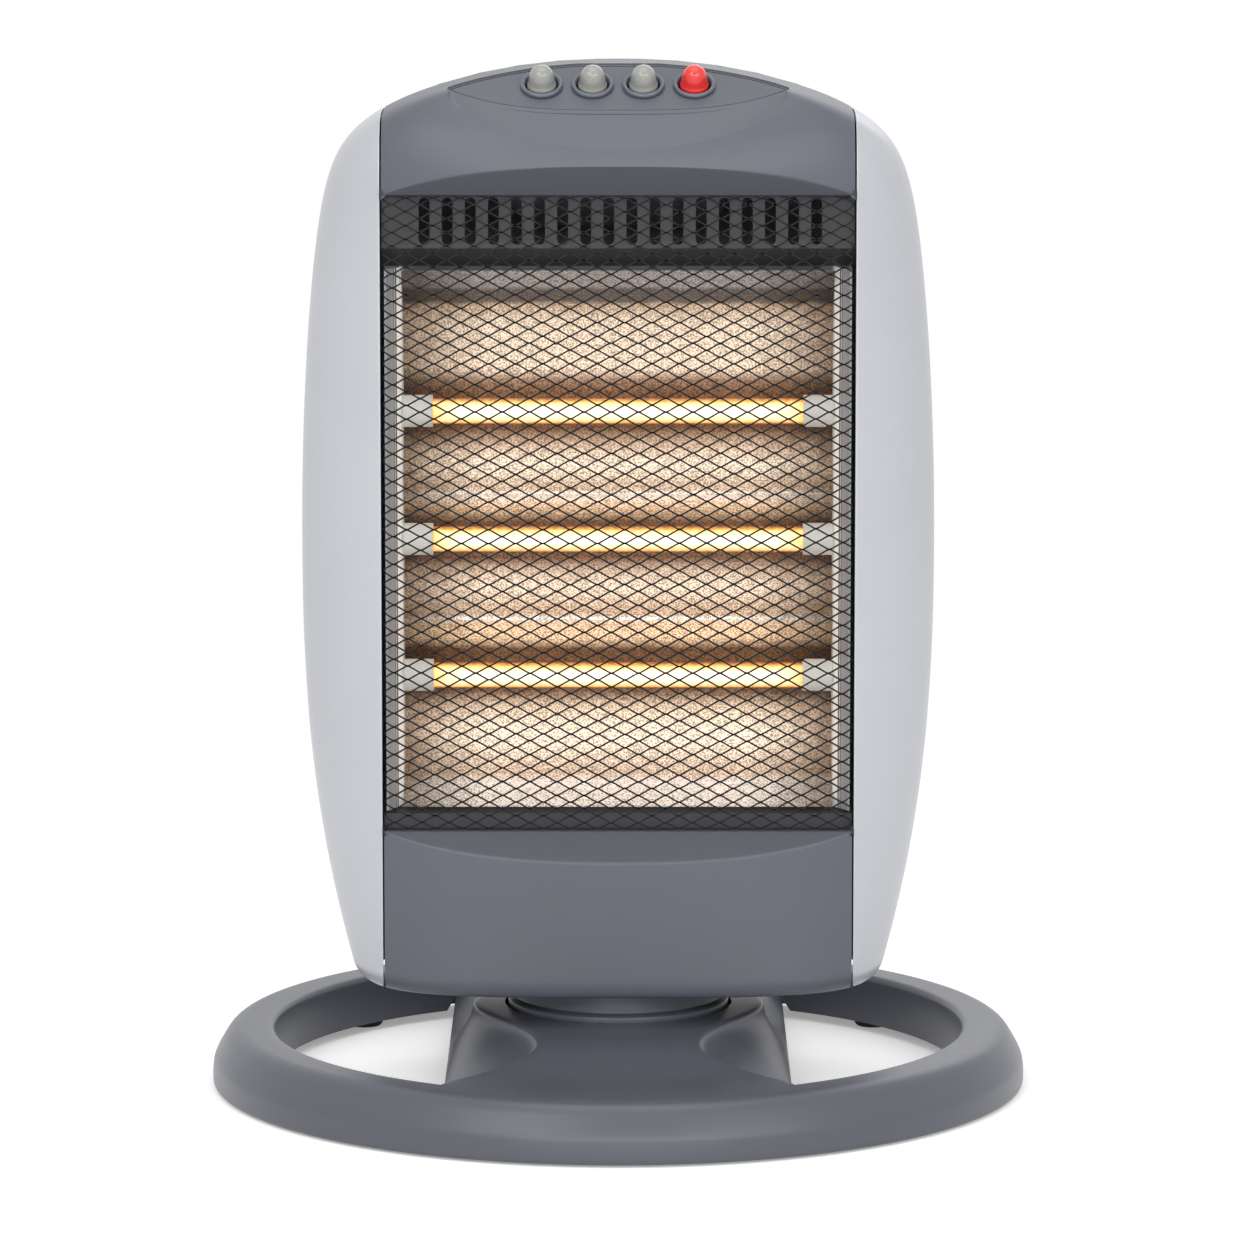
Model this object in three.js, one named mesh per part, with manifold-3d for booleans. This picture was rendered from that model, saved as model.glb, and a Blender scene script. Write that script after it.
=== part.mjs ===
// A free-standing halogen heater: a head with three tubes that swings from side to side on a ring base.
// Millimetres, +Z up. The origin lies on the floor at the middle of the base, and the front faces -Y.
// Depths are measured forwards from the swivel axis, so a depth of 46 lies at y = -46.
import * as THREE from 'three';
import { mergeVertices } from 'three/addons/utils/BufferGeometryUtils.js';
import Module from 'manifold-3d';

const wasm = await Module();
wasm.setup();

// Clearances
const seatGap = 0.3; // between a piece and the one that it rests on or passes through
const seamGap = 0.4; // the line that shows between two housing mouldings

// Ring base
const baseRadius = 195;
const ringInnerRadius = 165;
const ringTop = 28.5;
const ringShoulder = 12;
const ringEdge = 4;
const baseWall = 2.6;
const innerWallFoot = 11; // the walls round the side openings stop this far above the floor
const hubRimRadius = 70;
const hubTop = 38;
const hubSlopeEnd = 150;
const recessRadius = 54.5;
const recessFloor = 30;
const recessLedge = 2.7;
const armWaist = 38; // half the width of the front and back arms where they are slimmest
const armWaistReach = 90;
const armRoot = 80;
const flankFoot = 82; // half the distance between the feet of the two hollowed flanks
const footRadius = 9;
const footThickness = 3;
const footCircle = 180;

// Swivel
const spindleRadius = 6;
const spindleFlange = 14;
const spindleFlangeThickness = 2.4;
const discRadius = 53;
const discSkirtHeight = 8;
const neckRadius = 49.5;
const discWall = 2.6;
const discWeb = 3.6;
const swingLimit = 35; // degrees to each side
const crankOffset = 25; // from the swivel axis back to the motor shaft
const crankPinRadius = 1.8;
const crankSlotClearance = 1;
const crankShaftRadius = 3.4;
const crankArmThickness = 4;
const guidePlateThickness = 2;
const guideScrewCircle = 40;
const guideScrewRadius = 1.5;
const motorRadius = 23.5;
const motorHeight = 18;
const nutRadius = 10;
const nutHeight = 6;
const washerThickness = 1.2;

// Head housing
const headBottom = 52;
const headTop = 489.4;
const wall = 2.6;
const widestHalf = 150.8;
const widestHeight = 264;
const topHalf = 137;
const topHalfHeight = 470;
const bottomHalf = 124.5;
const crownRadius = 310;
const frontDepth = 66;
const backDepth = 60;
const crownFrontDepth = 40;
const crownFrontStart = 455;
const crownBackDepth = 26;
const crownBackStart = 430;
const lowerEdgeRadius = 9;
const backPower = 2.9;
const seamHalf = 111.2;
const seamDepth = 46;
const splitDepth = -28; // where the front mouldings meet the rear cover
const windowBottom = 129;
const windowTop = 430.2;
const hoodFacetRise = 0.77; // rise over run of the slope under the hood
const sillFacetFall = 0.585; // fall over run of the slope under the guard
const ledgeDepth = 20; // how far back the two ledges of the window reach

// Deck with its control panel and buttons
const deckTilt = 33;
const deckBackDepth = 16;
const deckFrontDepth = 47;
const deckFrontHeight = 470;
const deckFloor = 2.2;
const chinTilt = 43;
const chinRadius = 561;
const panelThickness = 2.4;
const panelHalf = 76;
const panelTipDrop = 3.6; // the lens's tips lie this far in front of its middle
const panelMargin = 1.8;
const buttonCount = 4;
const buttonPitch = 23.8;
const buttonRadius = 6.85;
const buttonHeight = 11;
const buttonTravel = 3;
const buttonStemRadius = 3;
const bezelRadius = 10;
const bezelHeight = 2.2;
const bezelShank = 8.6;
const switchBlockWidth = 18;
const switchBlockHeight = 16;

// Window: vent panel, guard, reflector and tubes
const ventDepth = 40;
const ventThickness = 1.6;
const ventFold = 404.8;
const ventFoot = 395.3;
const ventSlotCount = 18;
const ventSlotPitch = 10.9;
const ventSlotWidth = 5;
const ventSlotHeight = 21;
const trimTop = 138;
const guardThickness = 1.2;
const guardBorder = 3;
const guardStrand = 1.6;
const guardColumns = 5;
const guardRows = 13;
const reflectorHalf = 101.6;
const reflectorSheet = 1;
const reflectorLip = 38;
const reflectorTroughDepth = 14;
const reflectorCuspDepth = 20;
const reflectorTop = 393.6;
const reflectorBottom = 140;
const reflectorBends = [378, 287, 227, 150];
const shieldSheet = 1;
const endPlateSheet = 1;
const endPlateElbow = 30;
const endPlateFlare = 6.6;
const tubeHeights = [326.7, 265.8, 200.8];
const tubeDepth = 26;
const tubeRadius = 6;
const tubeWall = 1.1;
const tubeHalf = 90;
const capRadius = 7.6;
const capStemRadius = 3.5;
const capSocketDepth = 3;
const filamentRadius = 1.6;
const filamentHalf = 82;
const filamentLeadRadius = 0.7;

// Back and inside of the head
const gripHalf = 50;
const gripBottom = 412;
const gripTop = 440;
const gripDepth = 24;
const rearSlotHalf = 55;
const rearSlotHeight = 5;
const rearSlotPitch = 12;
const rearScrewHalf = 92;
const rearScrewHeights = [120, 392];
const rearScrewHead = 3.6;
const rearScrewRadius = 1.6;
const rearScrewLength = 12;
const glandHeight = 80;
const glandRadius = 6;
const glandBore = 3.6;
const bracketHalf = 78;
const bracketReach = 38;
const bracketFoot = 9;
const bracketSheet = 1.5;
const bracketTop = 62.5;

const housingMaterial = new THREE.MeshStandardMaterial({ color: 0x696d76, roughness: 0.45, metalness: 0 });
const baseMaterial = new THREE.MeshStandardMaterial({ color: 0x5f636c, roughness: 0.5, metalness: 0 });
const silverMaterial = new THREE.MeshStandardMaterial({ color: 0xbfc1c7, roughness: 0.4, metalness: 0.3 });
const bezelMaterial = new THREE.MeshStandardMaterial({ color: 0x6f7580, roughness: 0.3, metalness: 0 });
const buttonMaterial = new THREE.MeshStandardMaterial({ color: 0x96968f, roughness: 0.35, metalness: 0 });
const redMaterial = new THREE.MeshStandardMaterial({ color: 0xe02a24, roughness: 0.3, metalness: 0 });
const blackMaterial = new THREE.MeshStandardMaterial({ color: 0x232427, roughness: 0.5, metalness: 0.2 });
const brightMaterial = new THREE.MeshStandardMaterial({ color: 0xd8d4cc, roughness: 0.2, metalness: 1 });
const steelMaterial = new THREE.MeshStandardMaterial({ color: 0xa8abb0, roughness: 0.4, metalness: 1 });
const quartzMaterial = new THREE.MeshStandardMaterial({ color: 0xf6ead2, roughness: 0.1, metalness: 0 });
const ceramicMaterial = new THREE.MeshStandardMaterial({ color: 0xe6e2da, roughness: 0.6, metalness: 0 });
const glowMaterial = new THREE.MeshStandardMaterial({ color: 0xffb347, roughness: 0.6, metalness: 0 });
const rubberMaterial = new THREE.MeshStandardMaterial({ color: 0x1d1d1f, roughness: 0.9, metalness: 0 });
const switchMaterial = new THREE.MeshStandardMaterial({ color: 0x2f3032, roughness: 0.6, metalness: 0 });

const radians = THREE.MathUtils.degToRad;

// Turns a closed geometry into a solid that can be joined and cut, faces pointing out.
function solidOf(geometry) {
  const bare = geometry.clone();
  bare.deleteAttribute('normal');
  bare.deleteAttribute('uv');
  const merged = mergeVertices(bare, 1e-4);
  const corners = Array.from(merged.index.array);
  const triangles = [];
  for (let i = 0; i < corners.length; i += 3) {
    const [a, b, c] = corners.slice(i, i + 3);
    if (a !== b && b !== c && c !== a) {
      triangles.push(a, b, c);
    }
  }
  const vertProperties = new Float32Array(merged.attributes.position.array);
  const build = (list) => new wasm.Manifold(
    new wasm.Mesh({ numProp: 3, vertProperties, triVerts: new Uint32Array(list) }));
  const solid = build(triangles);
  return solid.volume() < 0 ? build(triangles.reverse()) : solid;
}

function geometryOf(solid) {
  const mesh = solid.getMesh();
  const geometry = new THREE.BufferGeometry();
  geometry.setAttribute('position', new THREE.BufferAttribute(new Float32Array(mesh.vertProperties), 3));
  geometry.setIndex(new THREE.BufferAttribute(new Uint32Array(mesh.triVerts), 1));
  geometry.computeVertexNormals();
  return geometry;
}

function addPiece(group, name, solid, material) {
  const piece = new THREE.Mesh(geometryOf(solid), material);
  piece.name = name;
  group.add(piece);
  return piece;
}

function block(low, high) {
  const size = high.map((value, axis) => value - low[axis]);
  const geometry = new THREE.BoxGeometry(...size);
  geometry.translate(...low.map((value, axis) => value + size[axis] / 2));
  return solidOf(geometry);
}

// Revolves a profile of [radius, height] points about the Z axis.
function turned(profile, segments) {
  const points = profile.map(([radius, height]) => new THREE.Vector2(radius, height));
  points.push(points[0].clone());
  const geometry = new THREE.LatheGeometry(points, segments);
  geometry.rotateX(Math.PI / 2);
  return solidOf(geometry);
}

// A disc or plain shaft about the Z axis.
function drum(radius, bottom, top, segments) {
  return turned([[0, bottom], [radius, bottom], [radius, top], [0, top]], segments);
}

// An outline through points, less those that repeat or lie on a straight run between their neighbours.
function shapeOf(points) {
  const kept = [];
  for (const point of points) {
    const [x, y] = point;
    const last = kept[kept.length - 1];
    if (!last || Math.hypot(x - last[0], y - last[1]) > 1e-6) {
      kept.push(point);
    }
  }
  const turns = ([x, y], index) => {
    const [lastX, lastY] = kept[(index + kept.length - 1) % kept.length];
    const [nextX, nextY] = kept[(index + 1) % kept.length];
    return Math.abs((x - lastX) * (nextY - y) - (y - lastY) * (nextX - x)) > 1e-6;
  };
  return new THREE.Shape(kept.filter(turns).map(([x, y]) => new THREE.Vector2(x, y)));
}

// Carries a shape drawn in (y, z) along the X axis, from left to right.
function alongX(shape, left, right) {
  const geometry = new THREE.ExtrudeGeometry(shape, { depth: right - left, bevelEnabled: false });
  const axes = new THREE.Matrix4().makeBasis(
    new THREE.Vector3(0, 1, 0), new THREE.Vector3(0, 0, 1), new THREE.Vector3(1, 0, 0));
  geometry.applyMatrix4(axes);
  geometry.translate(left, 0, 0);
  return solidOf(geometry);
}

// Carries a shape drawn in (x, z) along the Y axis, from its front to its back.
function alongY(shape, front, back, curveSegments = 3) {
  const settings = { depth: back - front, bevelEnabled: false, curveSegments };
  const geometry = new THREE.ExtrudeGeometry(shape, settings);
  geometry.rotateX(Math.PI / 2);
  geometry.translate(0, back, 0);
  return solidOf(geometry);
}

// Carries a shape drawn in (x, y) upwards.
function alongZ(shape, bottom, top, curveSegments = 12) {
  const settings = { depth: top - bottom, bevelEnabled: false, curveSegments };
  const geometry = new THREE.ExtrudeGeometry(shape, settings);
  geometry.translate(0, 0, bottom);
  return solidOf(geometry);
}

// Joins a stack of rings, each a list of [x, y, z] with as many points, into one closed skin. The rings run
// anticlockwise seen from above. A fanned end has a middle point, and any other is closed by strips from one
// side of its ring to the other.
function loft(rings, fanned) {
  const count = rings[0].length;
  const last = (rings.length - 1) * count;
  const corners = rings.flat();
  const faces = [];
  for (let level = 0; level + 1 < rings.length; level += 1) {
    for (let side = 0; side < count; side += 1) {
      const a = level * count + side;
      const b = level * count + (side + 1) % count;
      faces.push(a, b, b + count, a, b + count, a + count);
    }
  }
  if (fanned) {
    const foot = corners.push([0, 0, rings[0][0][2]]) - 1;
    const top = corners.push([0, 0, rings[rings.length - 1][0][2]]) - 1;
    for (let side = 0; side < count; side += 1) {
      const next = (side + 1) % count;
      faces.push(foot, next, side, top, last + side, last + next);
    }
  } else {
    for (let side = 0; side < count / 2 - 1; side += 1) {
      const across = count - 1 - side;
      faces.push(side, across, across - 1, side, across - 1, side + 1);
      faces.push(last + side, last + side + 1, last + across - 1);
      faces.push(last + side, last + across - 1, last + across);
    }
  }
  const geometry = new THREE.BufferGeometry();
  geometry.setAttribute('position', new THREE.Float32BufferAttribute(corners.flat(), 3));
  geometry.setIndex(faces);
  return solidOf(geometry);
}

function moved(solid, x, y, z) {
  return solid.translate([x, y, z]);
}

// A stadium: two half circles joined by straight sides, between two points on a vertical line.
function stadium(x, bottom, top, radius) {
  const shape = new THREE.Shape();
  shape.absarc(x, top - radius, radius, 0, Math.PI, false);
  shape.absarc(x, bottom + radius, radius, Math.PI, 2 * Math.PI, false);
  return shape;
}

function levelStadium(left, right, middle, radius) {
  const shape = new THREE.Shape();
  shape.absarc(right - radius, middle, radius, -Math.PI / 2, Math.PI / 2, false);
  shape.absarc(left + radius, middle, radius, Math.PI / 2, 1.5 * Math.PI, false);
  return shape;
}

// ---- Ring base ----

const baseFoot = footThickness + seatGap;
const baseSides = 52;

// The revolved outside of the base, drawn in by an inset for the hollow under it.
function baseBlank(inset, bottom) {
  const shoulder = ringShoulder - inset;
  const steps = inset > 0 ? 2 : 3;
  const profile = [[0, bottom], [baseRadius - inset, bottom]];
  for (let step = 0; step <= steps; step += 1) {
    const angle = step / steps * Math.PI / 2;
    const radius = baseRadius - ringShoulder + shoulder * Math.cos(angle);
    profile.push([radius, ringTop - ringShoulder + shoulder * Math.sin(angle)]);
  }
  profile.push([hubSlopeEnd, ringTop - inset]);
  for (let step = 1; step <= steps; step += 1) {
    const share = step / (steps + 1);
    const radius = hubSlopeEnd + (hubRimRadius - hubSlopeEnd) * share;
    const rise = (hubTop - ringTop) * (1 - Math.cos(share * Math.PI)) / 2;
    profile.push([radius, ringTop + rise - inset]);
  }
  profile.push([hubRimRadius, hubTop - inset]);
  profile.push([0, hubTop - inset]);
  return turned(profile, inset > 0 ? 36 : baseSides);
}

// Half the width of the hub and arms at a distance in front of or behind the axis, at a share of their
// height.
function flankHalf(reach, share) {
  const distance = Math.abs(reach);
  const foot = flankFoot;
  const hub = hubRimRadius - armWaist;
  const root = armRoot - armWaist;
  const flare = Math.min((distance - armWaistReach) / (ringInnerRadius - armRoot / 4 - armWaistReach), 1);
  const top = distance < armWaistReach
    ? armWaist + hub * Math.cos(distance / armWaistReach * Math.PI / 2) ** 2
    : armWaist + root * Math.sin(flare * Math.PI / 2) ** 2;
  return foot + (top - foot) * Math.sin(share * Math.PI / 2) ** 1.4;
}

// One of the two openings between ring and hub, which widens upwards. With a thickness, it is the same
// opening moved out and down by that much, for the hollow underneath.
function sideOpening(side, thickness) {
  const steps = 9;
  const rings = [];
  for (const share of [0, 0, 0.35, 0.7, 1, 1]) {
    const height = innerWallFoot + (ringTop - innerWallFoot) * share;
    const edge = Math.max(0, height - (ringTop - ringEdge)) / ringEdge;
    const roll = ringEdge * (1 - Math.sqrt(Math.max(0, 1 - edge ** 2)));
    const outerRadius = ringInnerRadius + roll + thickness;
    const end = Math.sqrt(outerRadius ** 2 - (flankHalf(150, share) - thickness) ** 2) - 1;
    const outer = [];
    const inner = [];
    for (let step = 0; step <= steps; step += 1) {
      const reach = end * Math.sin((step / steps - 0.5) * Math.PI);
      outer.push([Math.sqrt(outerRadius ** 2 - reach ** 2), reach, height - thickness]);
      inner.unshift([flankHalf(reach, share) - thickness, reach, height - thickness]);
    }
    rings.push([...outer, ...inner]);
  }
  rings[0] = rings[0].map(([x, y]) => [x, y, 0]);
  rings[rings.length - 1] = rings[rings.length - 1].map(([x, y]) => [x, y, hubTop + 2]);
  const opening = loft(rings);
  return side < 0 ? opening.mirror([1, 0, 0]) : opening;
}

function baseRing() {
  const openings = sideOpening(1, 0).add(sideOpening(-1, 0));
  const walls = sideOpening(1, baseWall).add(sideOpening(-1, baseWall));
  const outside = baseBlank(0, baseFoot).subtract(openings);
  const inside = baseBlank(baseWall, baseFoot - 1).subtract(walls);
  const trim = drum(baseRadius - ringShoulder, baseFoot - 1, innerWallFoot, 36);
  let ring = outside.subtract(inside).subtract(trim);
  const hubWall = drum(recessRadius + baseWall, recessFloor - baseWall - seatGap, hubTop - baseWall, 36);
  ring = ring.add(hubWall);
  ring = ring.subtract(drum(recessRadius, recessFloor + recessLedge, hubTop + 1, 40));
  ring = ring.subtract(drum(guidePlateRadius + 1.5, recessFloor, hubTop, 36));
  ring = ring.subtract(drum(spindleRadius + seatGap, 0, hubTop, 16));
  for (const angle of guideScrewAngles) {
    const hole = drum(guideScrewRadius + seatGap, 0, hubTop, 10);
    const [x, y] = [Math.cos(angle), Math.sin(angle)];
    ring = ring.subtract(moved(hole, guideScrewCircle * x, guideScrewCircle * y, 0));
  }
  for (const angle of footAngles) {
    const post = drum(footRadius - 1, baseFoot, ringTop - baseWall / 2, 16);
    ring = ring.add(moved(post, footCircle * Math.cos(angle), footCircle * Math.sin(angle), 0));
  }
  return ring;
}

const footAngles = [45, 135, 225, 315].map(radians);
const guideScrewAngles = [210, 270, 330].map(radians);
const guidePlateRadius = recessRadius - 8.5;
const guidePlateBottom = recessFloor + seatGap;
const guidePlateTop = guidePlateBottom + guidePlateThickness;

function foot() {
  const profile = [
    [0, 0], [footRadius - 1, 0], [footRadius, 1], [footRadius, footThickness], [0, footThickness]];
  return turned(profile, 16);
}

// ---- Swivel and what swings it ----

const crankThrow = crankOffset * Math.sin(radians(swingLimit));
const slotHalf = crankPinRadius + crankSlotClearance;
const discBottom = recessFloor + recessLedge + seatGap;
const discTop = headBottom - seatGap;
const washerBottom = discTop + seatGap;
const nutBottom = washerBottom + washerThickness + seatGap;
const spindleTop = nutBottom + nutHeight + 0.5;
const motorBottom = bracketTop + seatGap;

function spindle() {
  const hubUnderside = recessFloor - baseWall - seatGap;
  const flangeTop = hubUnderside - seatGap;
  return turned([
    [0, flangeTop - spindleFlangeThickness], [spindleFlange, flangeTop - spindleFlangeThickness],
    [spindleFlange, flangeTop], [spindleRadius, flangeTop], [spindleRadius, spindleTop - 1],
    [spindleRadius - 1, spindleTop], [0, spindleTop]], 16);
}

function guidePlate() {
  const shape = new THREE.Shape();
  shape.absarc(0, 0, guidePlateRadius, 0, 2 * Math.PI, false);
  const centre = new THREE.Path();
  centre.absarc(0, 0, spindleRadius + seatGap, 0, 2 * Math.PI, false);
  shape.holes.push(centre);
  const slot = stadium(0, crankOffset - crankThrow - slotHalf, crankOffset + crankThrow + slotHalf, slotHalf);
  shape.holes.push(new THREE.Path(slot.getPoints(4)));
  for (const angle of guideScrewAngles) {
    const hole = new THREE.Path();
    const x = guideScrewCircle * Math.cos(angle);
    hole.absarc(x, guideScrewCircle * Math.sin(angle), guideScrewRadius + seatGap, 0, 2 * Math.PI, false);
    shape.holes.push(hole);
  }
  return alongZ(shape, guidePlateBottom, guidePlateTop, 7);
}

function guideScrew() {
  const underHead = guidePlateTop + seatGap;
  return turned([
    [0, recessFloor - baseWall], [guideScrewRadius, recessFloor - baseWall], [guideScrewRadius, underHead],
    [2 * guideScrewRadius, underHead], [2 * guideScrewRadius, underHead + 1.2],
    [guideScrewRadius, underHead + 1.8], [0, underHead + 1.8]], 10);
}

function turntableDisc() {
  const skirtTop = discBottom + discSkirtHeight;
  const inner = neckRadius - discWall;
  const bore = spindleRadius + seatGap;
  const profile = [
    [inner, discBottom], [discRadius, discBottom], [discRadius, skirtTop - 1.6], [discRadius - 1.6, skirtTop],
    [neckRadius, skirtTop + 0.6], [neckRadius, discTop], [bore, discTop], [bore, discTop - discWeb],
    [inner, discTop - discWeb]];
  const shaftHole = drum(crankShaftRadius + 4.6, discTop - discWeb - 1, discTop + 1, 14);
  return turned(profile, 32).subtract(moved(shaftHole, 0, crankOffset, 0));
}

function washer() {
  const bore = spindleRadius + seatGap;
  const top = washerBottom + washerThickness;
  return turned([[bore, washerBottom], [nutRadius + 2, washerBottom], [nutRadius + 2, top], [bore, top]], 16);
}

function nut() {
  const bore = drum(spindleRadius + seatGap, nutBottom - 1, nutBottom + nutHeight + 1, 16);
  return drum(nutRadius, nutBottom, nutBottom + nutHeight, 6).subtract(bore);
}

function crank() {
  const armBottom = discTop - discWeb - 1 - crankArmThickness;
  const armTop = armBottom + crankArmThickness;
  const arm = alongZ(stadium(0, -5, crankThrow + 4, 4), armBottom, armTop, 6);
  const pin = moved(drum(crankPinRadius, recessFloor + 0.6, armTop - 1, 12), 0, crankThrow, 0);
  const collar = drum(crankShaftRadius + 2.6, armBottom + 0.5, armTop + 3, 14);
  const shaft = drum(crankShaftRadius, armBottom + 1, motorBottom + 6, 10);
  return arm.add(pin).add(collar).add(shaft);
}

function motor() {
  const top = motorBottom + motorHeight;
  const can = turned([
    [0, motorBottom], [motorRadius, motorBottom], [motorRadius, top - 2],
    [motorRadius - 2, top], [0, top]], 24);
  const earShape = levelStadium(-motorRadius - 8, motorRadius + 8, 0, 5);
  const ears = alongZ(earShape, motorBottom, motorBottom + 1.5, 4);
  const bore = drum(crankShaftRadius + seatGap, motorBottom - 1, motorBottom + 7, 16);
  return can.add(ears).subtract(bore);
}

// ---- Head housing ----

// Half the width of the housing at a height, before its crown and lower edge are rounded.
function sideHalf(height) {
  if (height > widestHeight) {
    const share = (height - widestHeight) / (topHalfHeight - widestHeight);
    return widestHalf - (widestHalf - topHalf) * share ** 2;
  }
  const share = (widestHeight - height) / (widestHeight - headBottom);
  return widestHalf - (widestHalf - bottomHalf) * share ** 2.5;
}

// The power of the rounded front that takes it through the seam between hood and side panel.
function frontPower(halfWidth) {
  let low = 1.6;
  let high = 9;
  for (let step = 0; step < 30; step += 1) {
    const power = (low + high) / 2;
    const reach = (seamHalf / halfWidth) ** power + (seamDepth / frontDepth) ** power;
    if (reach > 1) {
      low = power;
    } else {
      high = power;
    }
  }
  return (low + high) / 2;
}

// One level ring of the housing: a rounded front half and a squarer back half, pulled in under the crown.
function headRing(height, inset, pull) {
  const count = inset > 0 ? 28 : 40;
  const half = sideHalf(height);
  const power = frontPower(half);
  const top = headTop - inset;
  const fallAway = (start) => {
    const rise = Math.max(0, (height - start) / (top - start));
    return Math.sqrt(Math.max(0, 1 - rise ** 2));
  };
  const frontFall = (frontDepth - crownFrontDepth) * fallAway(crownFrontStart);
  const backFall = (backDepth - crownBackDepth) * fallAway(crownBackStart);
  const front = crownFrontDepth + frontFall - inset - pull / 3;
  const back = crownBackDepth + backFall - inset - pull / 3;
  const crown = Math.sqrt((crownRadius - inset) ** 2 - (height - headTop + crownRadius) ** 2);
  const ring = [];
  for (let step = 0; step < count; step += 1) {
    const angle = 2 * Math.PI * step / count;
    const across = Math.cos(angle);
    const along = Math.sin(angle);
    const depth = along > 0 ? back : front;
    const exponent = 2 / (along > 0 ? backPower : power);
    const x = (half - inset - pull) * Math.sign(across) * Math.abs(across) ** exponent;
    const y = depth * Math.sign(along) * Math.abs(along) ** exponent;
    const shrink = (1 + (Math.abs(x) / crown) ** 7) ** (-1 / 7);
    ring.push([x * shrink, y, height]);
  }
  return ring;
}

// The whole housing as one solid, drawn in by an inset for the hollow inside it.
function headBlank(inset) {
  const bottom = headBottom + inset;
  const radius = lowerEdgeRadius - inset;
  const shoulder = 405;
  const crownSpread = 27;
  const crownSteps = inset > 0 ? 4 : 7;
  const crownFoot = headTop - crownRadius + (crownRadius - inset) * Math.cos(radians(crownSpread));
  const rings = [];
  for (let step = 0; step < 3; step += 1) {
    const angle = step * Math.PI / 6;
    rings.push(headRing(bottom + radius * (1 - Math.cos(angle)), inset, radius * (1 - Math.sin(angle))));
  }
  const sideSteps = inset > 0 ? 3 : 5;
  for (let step = 0; step <= sideSteps; step += 1) {
    rings.push(headRing(bottom + radius + (shoulder - bottom - radius) * step / sideSteps, inset, 0));
  }
  for (let step = 1; step < 3; step += 1) {
    rings.push(headRing(shoulder + (crownFoot - shoulder) * step / 3, inset, 0));
  }
  for (let step = 0; step <= crownSteps; step += 1) {
    const angle = radians(crownSpread + (1.6 - crownSpread) * step / crownSteps);
    rings.push(headRing(headTop - crownRadius + (crownRadius - inset) * Math.cos(angle), inset, 0));
  }
  return loft(rings, true);
}

// What lies above the tilted deck, moved down by a depth square to it.
function aboveDeck(depth) {
  const slope = Math.tan(radians(deckTilt));
  const drop = depth / Math.cos(radians(deckTilt));
  const reach = 160;
  const frontHeight = deckFrontHeight - (reach - deckFrontDepth) * slope - drop;
  const backHeight = deckFrontHeight + (deckFrontDepth + 20) * slope - drop;
  return alongX(shapeOf([[-reach, frontHeight], [20, backHeight], [-reach, backHeight]]), -160, 160);
}

// What lies in front of the chin, a cone whose upright axis stands far behind the heater.
function beforeChin(inset) {
  const steps = 18;
  const reach = seamHalf + 20;
  const axis = chinRadius - deckFrontDepth;
  const rings = [430, 500].map((height) => {
    const spread = (deckFrontHeight - height) / Math.tan(radians(chinTilt));
    const radius = chinRadius + spread - inset / Math.sin(radians(chinTilt));
    const near = [];
    const far = [];
    for (let step = 0; step <= steps; step += 1) {
      const x = reach * (2 * step / steps - 1);
      near.push([x, -160, height]);
      far.unshift([x, axis - Math.sqrt(radius ** 2 - x ** 2), height]);
    }
    return [...near, ...far];
  });
  return loft(rings);
}

const splitLine = -splitDepth;
const ledge = -ledgeDepth;
const frontReach = frontDepth + 30;

// The hood lies above the window; its front edge slopes up and forwards from the guard.
function hoodRegion(inset) {
  const edge = windowTop + inset;
  const run = frontReach - seamDepth;
  const tip = edge + run * hoodFacetRise;
  const floor = inset > 0 ? windowTop - 1 : windowTop;
  const back = splitLine - seamGap / 2 + inset;
  const half = seamHalf - seamGap / 2 + inset;
  const outline = [
    [-frontReach, tip], [-seamDepth + inset, edge], [ledge, edge], [ledge, floor],
    [back, floor], [back, headTop + 5], [-frontReach, headTop + 5]];
  return alongX(shapeOf(outline), -half, half);
}

// The lower front panel lies below the window; its upper edge slopes down and forwards from the guard.
function sillRegion(inset) {
  const edge = windowBottom - inset;
  const tip = edge - (frontReach - seamDepth) * sillFacetFall;
  const roof = inset > 0 ? windowBottom + 1 : windowBottom;
  const back = splitLine - seamGap / 2 + inset;
  const half = seamHalf - seamGap / 2 + inset;
  const outline = [
    [-frontReach, headBottom - 5], [back, headBottom - 5], [back, roof], [ledge, roof],
    [ledge, edge], [-seamDepth + inset, edge], [-frontReach, tip]];
  return alongX(shapeOf(outline), -half, half);
}

const deckDepth = panelThickness + seatGap + deckFloor;
const deckMiddle = (deckBackDepth + deckFrontDepth) / 2;
const deckMiddleHeight = deckFrontHeight + (deckFrontDepth - deckMiddle) * Math.tan(radians(deckTilt));
const deckHalf = (deckFrontDepth - deckBackDepth) / 2 / Math.cos(radians(deckTilt));

// Brings a solid drawn flat, with the deck's face at z = 0, to its place on the head.
function onDeck(solid) {
  return moved(solid.rotate([deckTilt, 0, 0]), 0, -deckMiddle, deckMiddleHeight);
}

const buttonPlaces = Array.from(
  { length: buttonCount }, (_, index) => (index - (buttonCount - 1) / 2) * buttonPitch);

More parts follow.
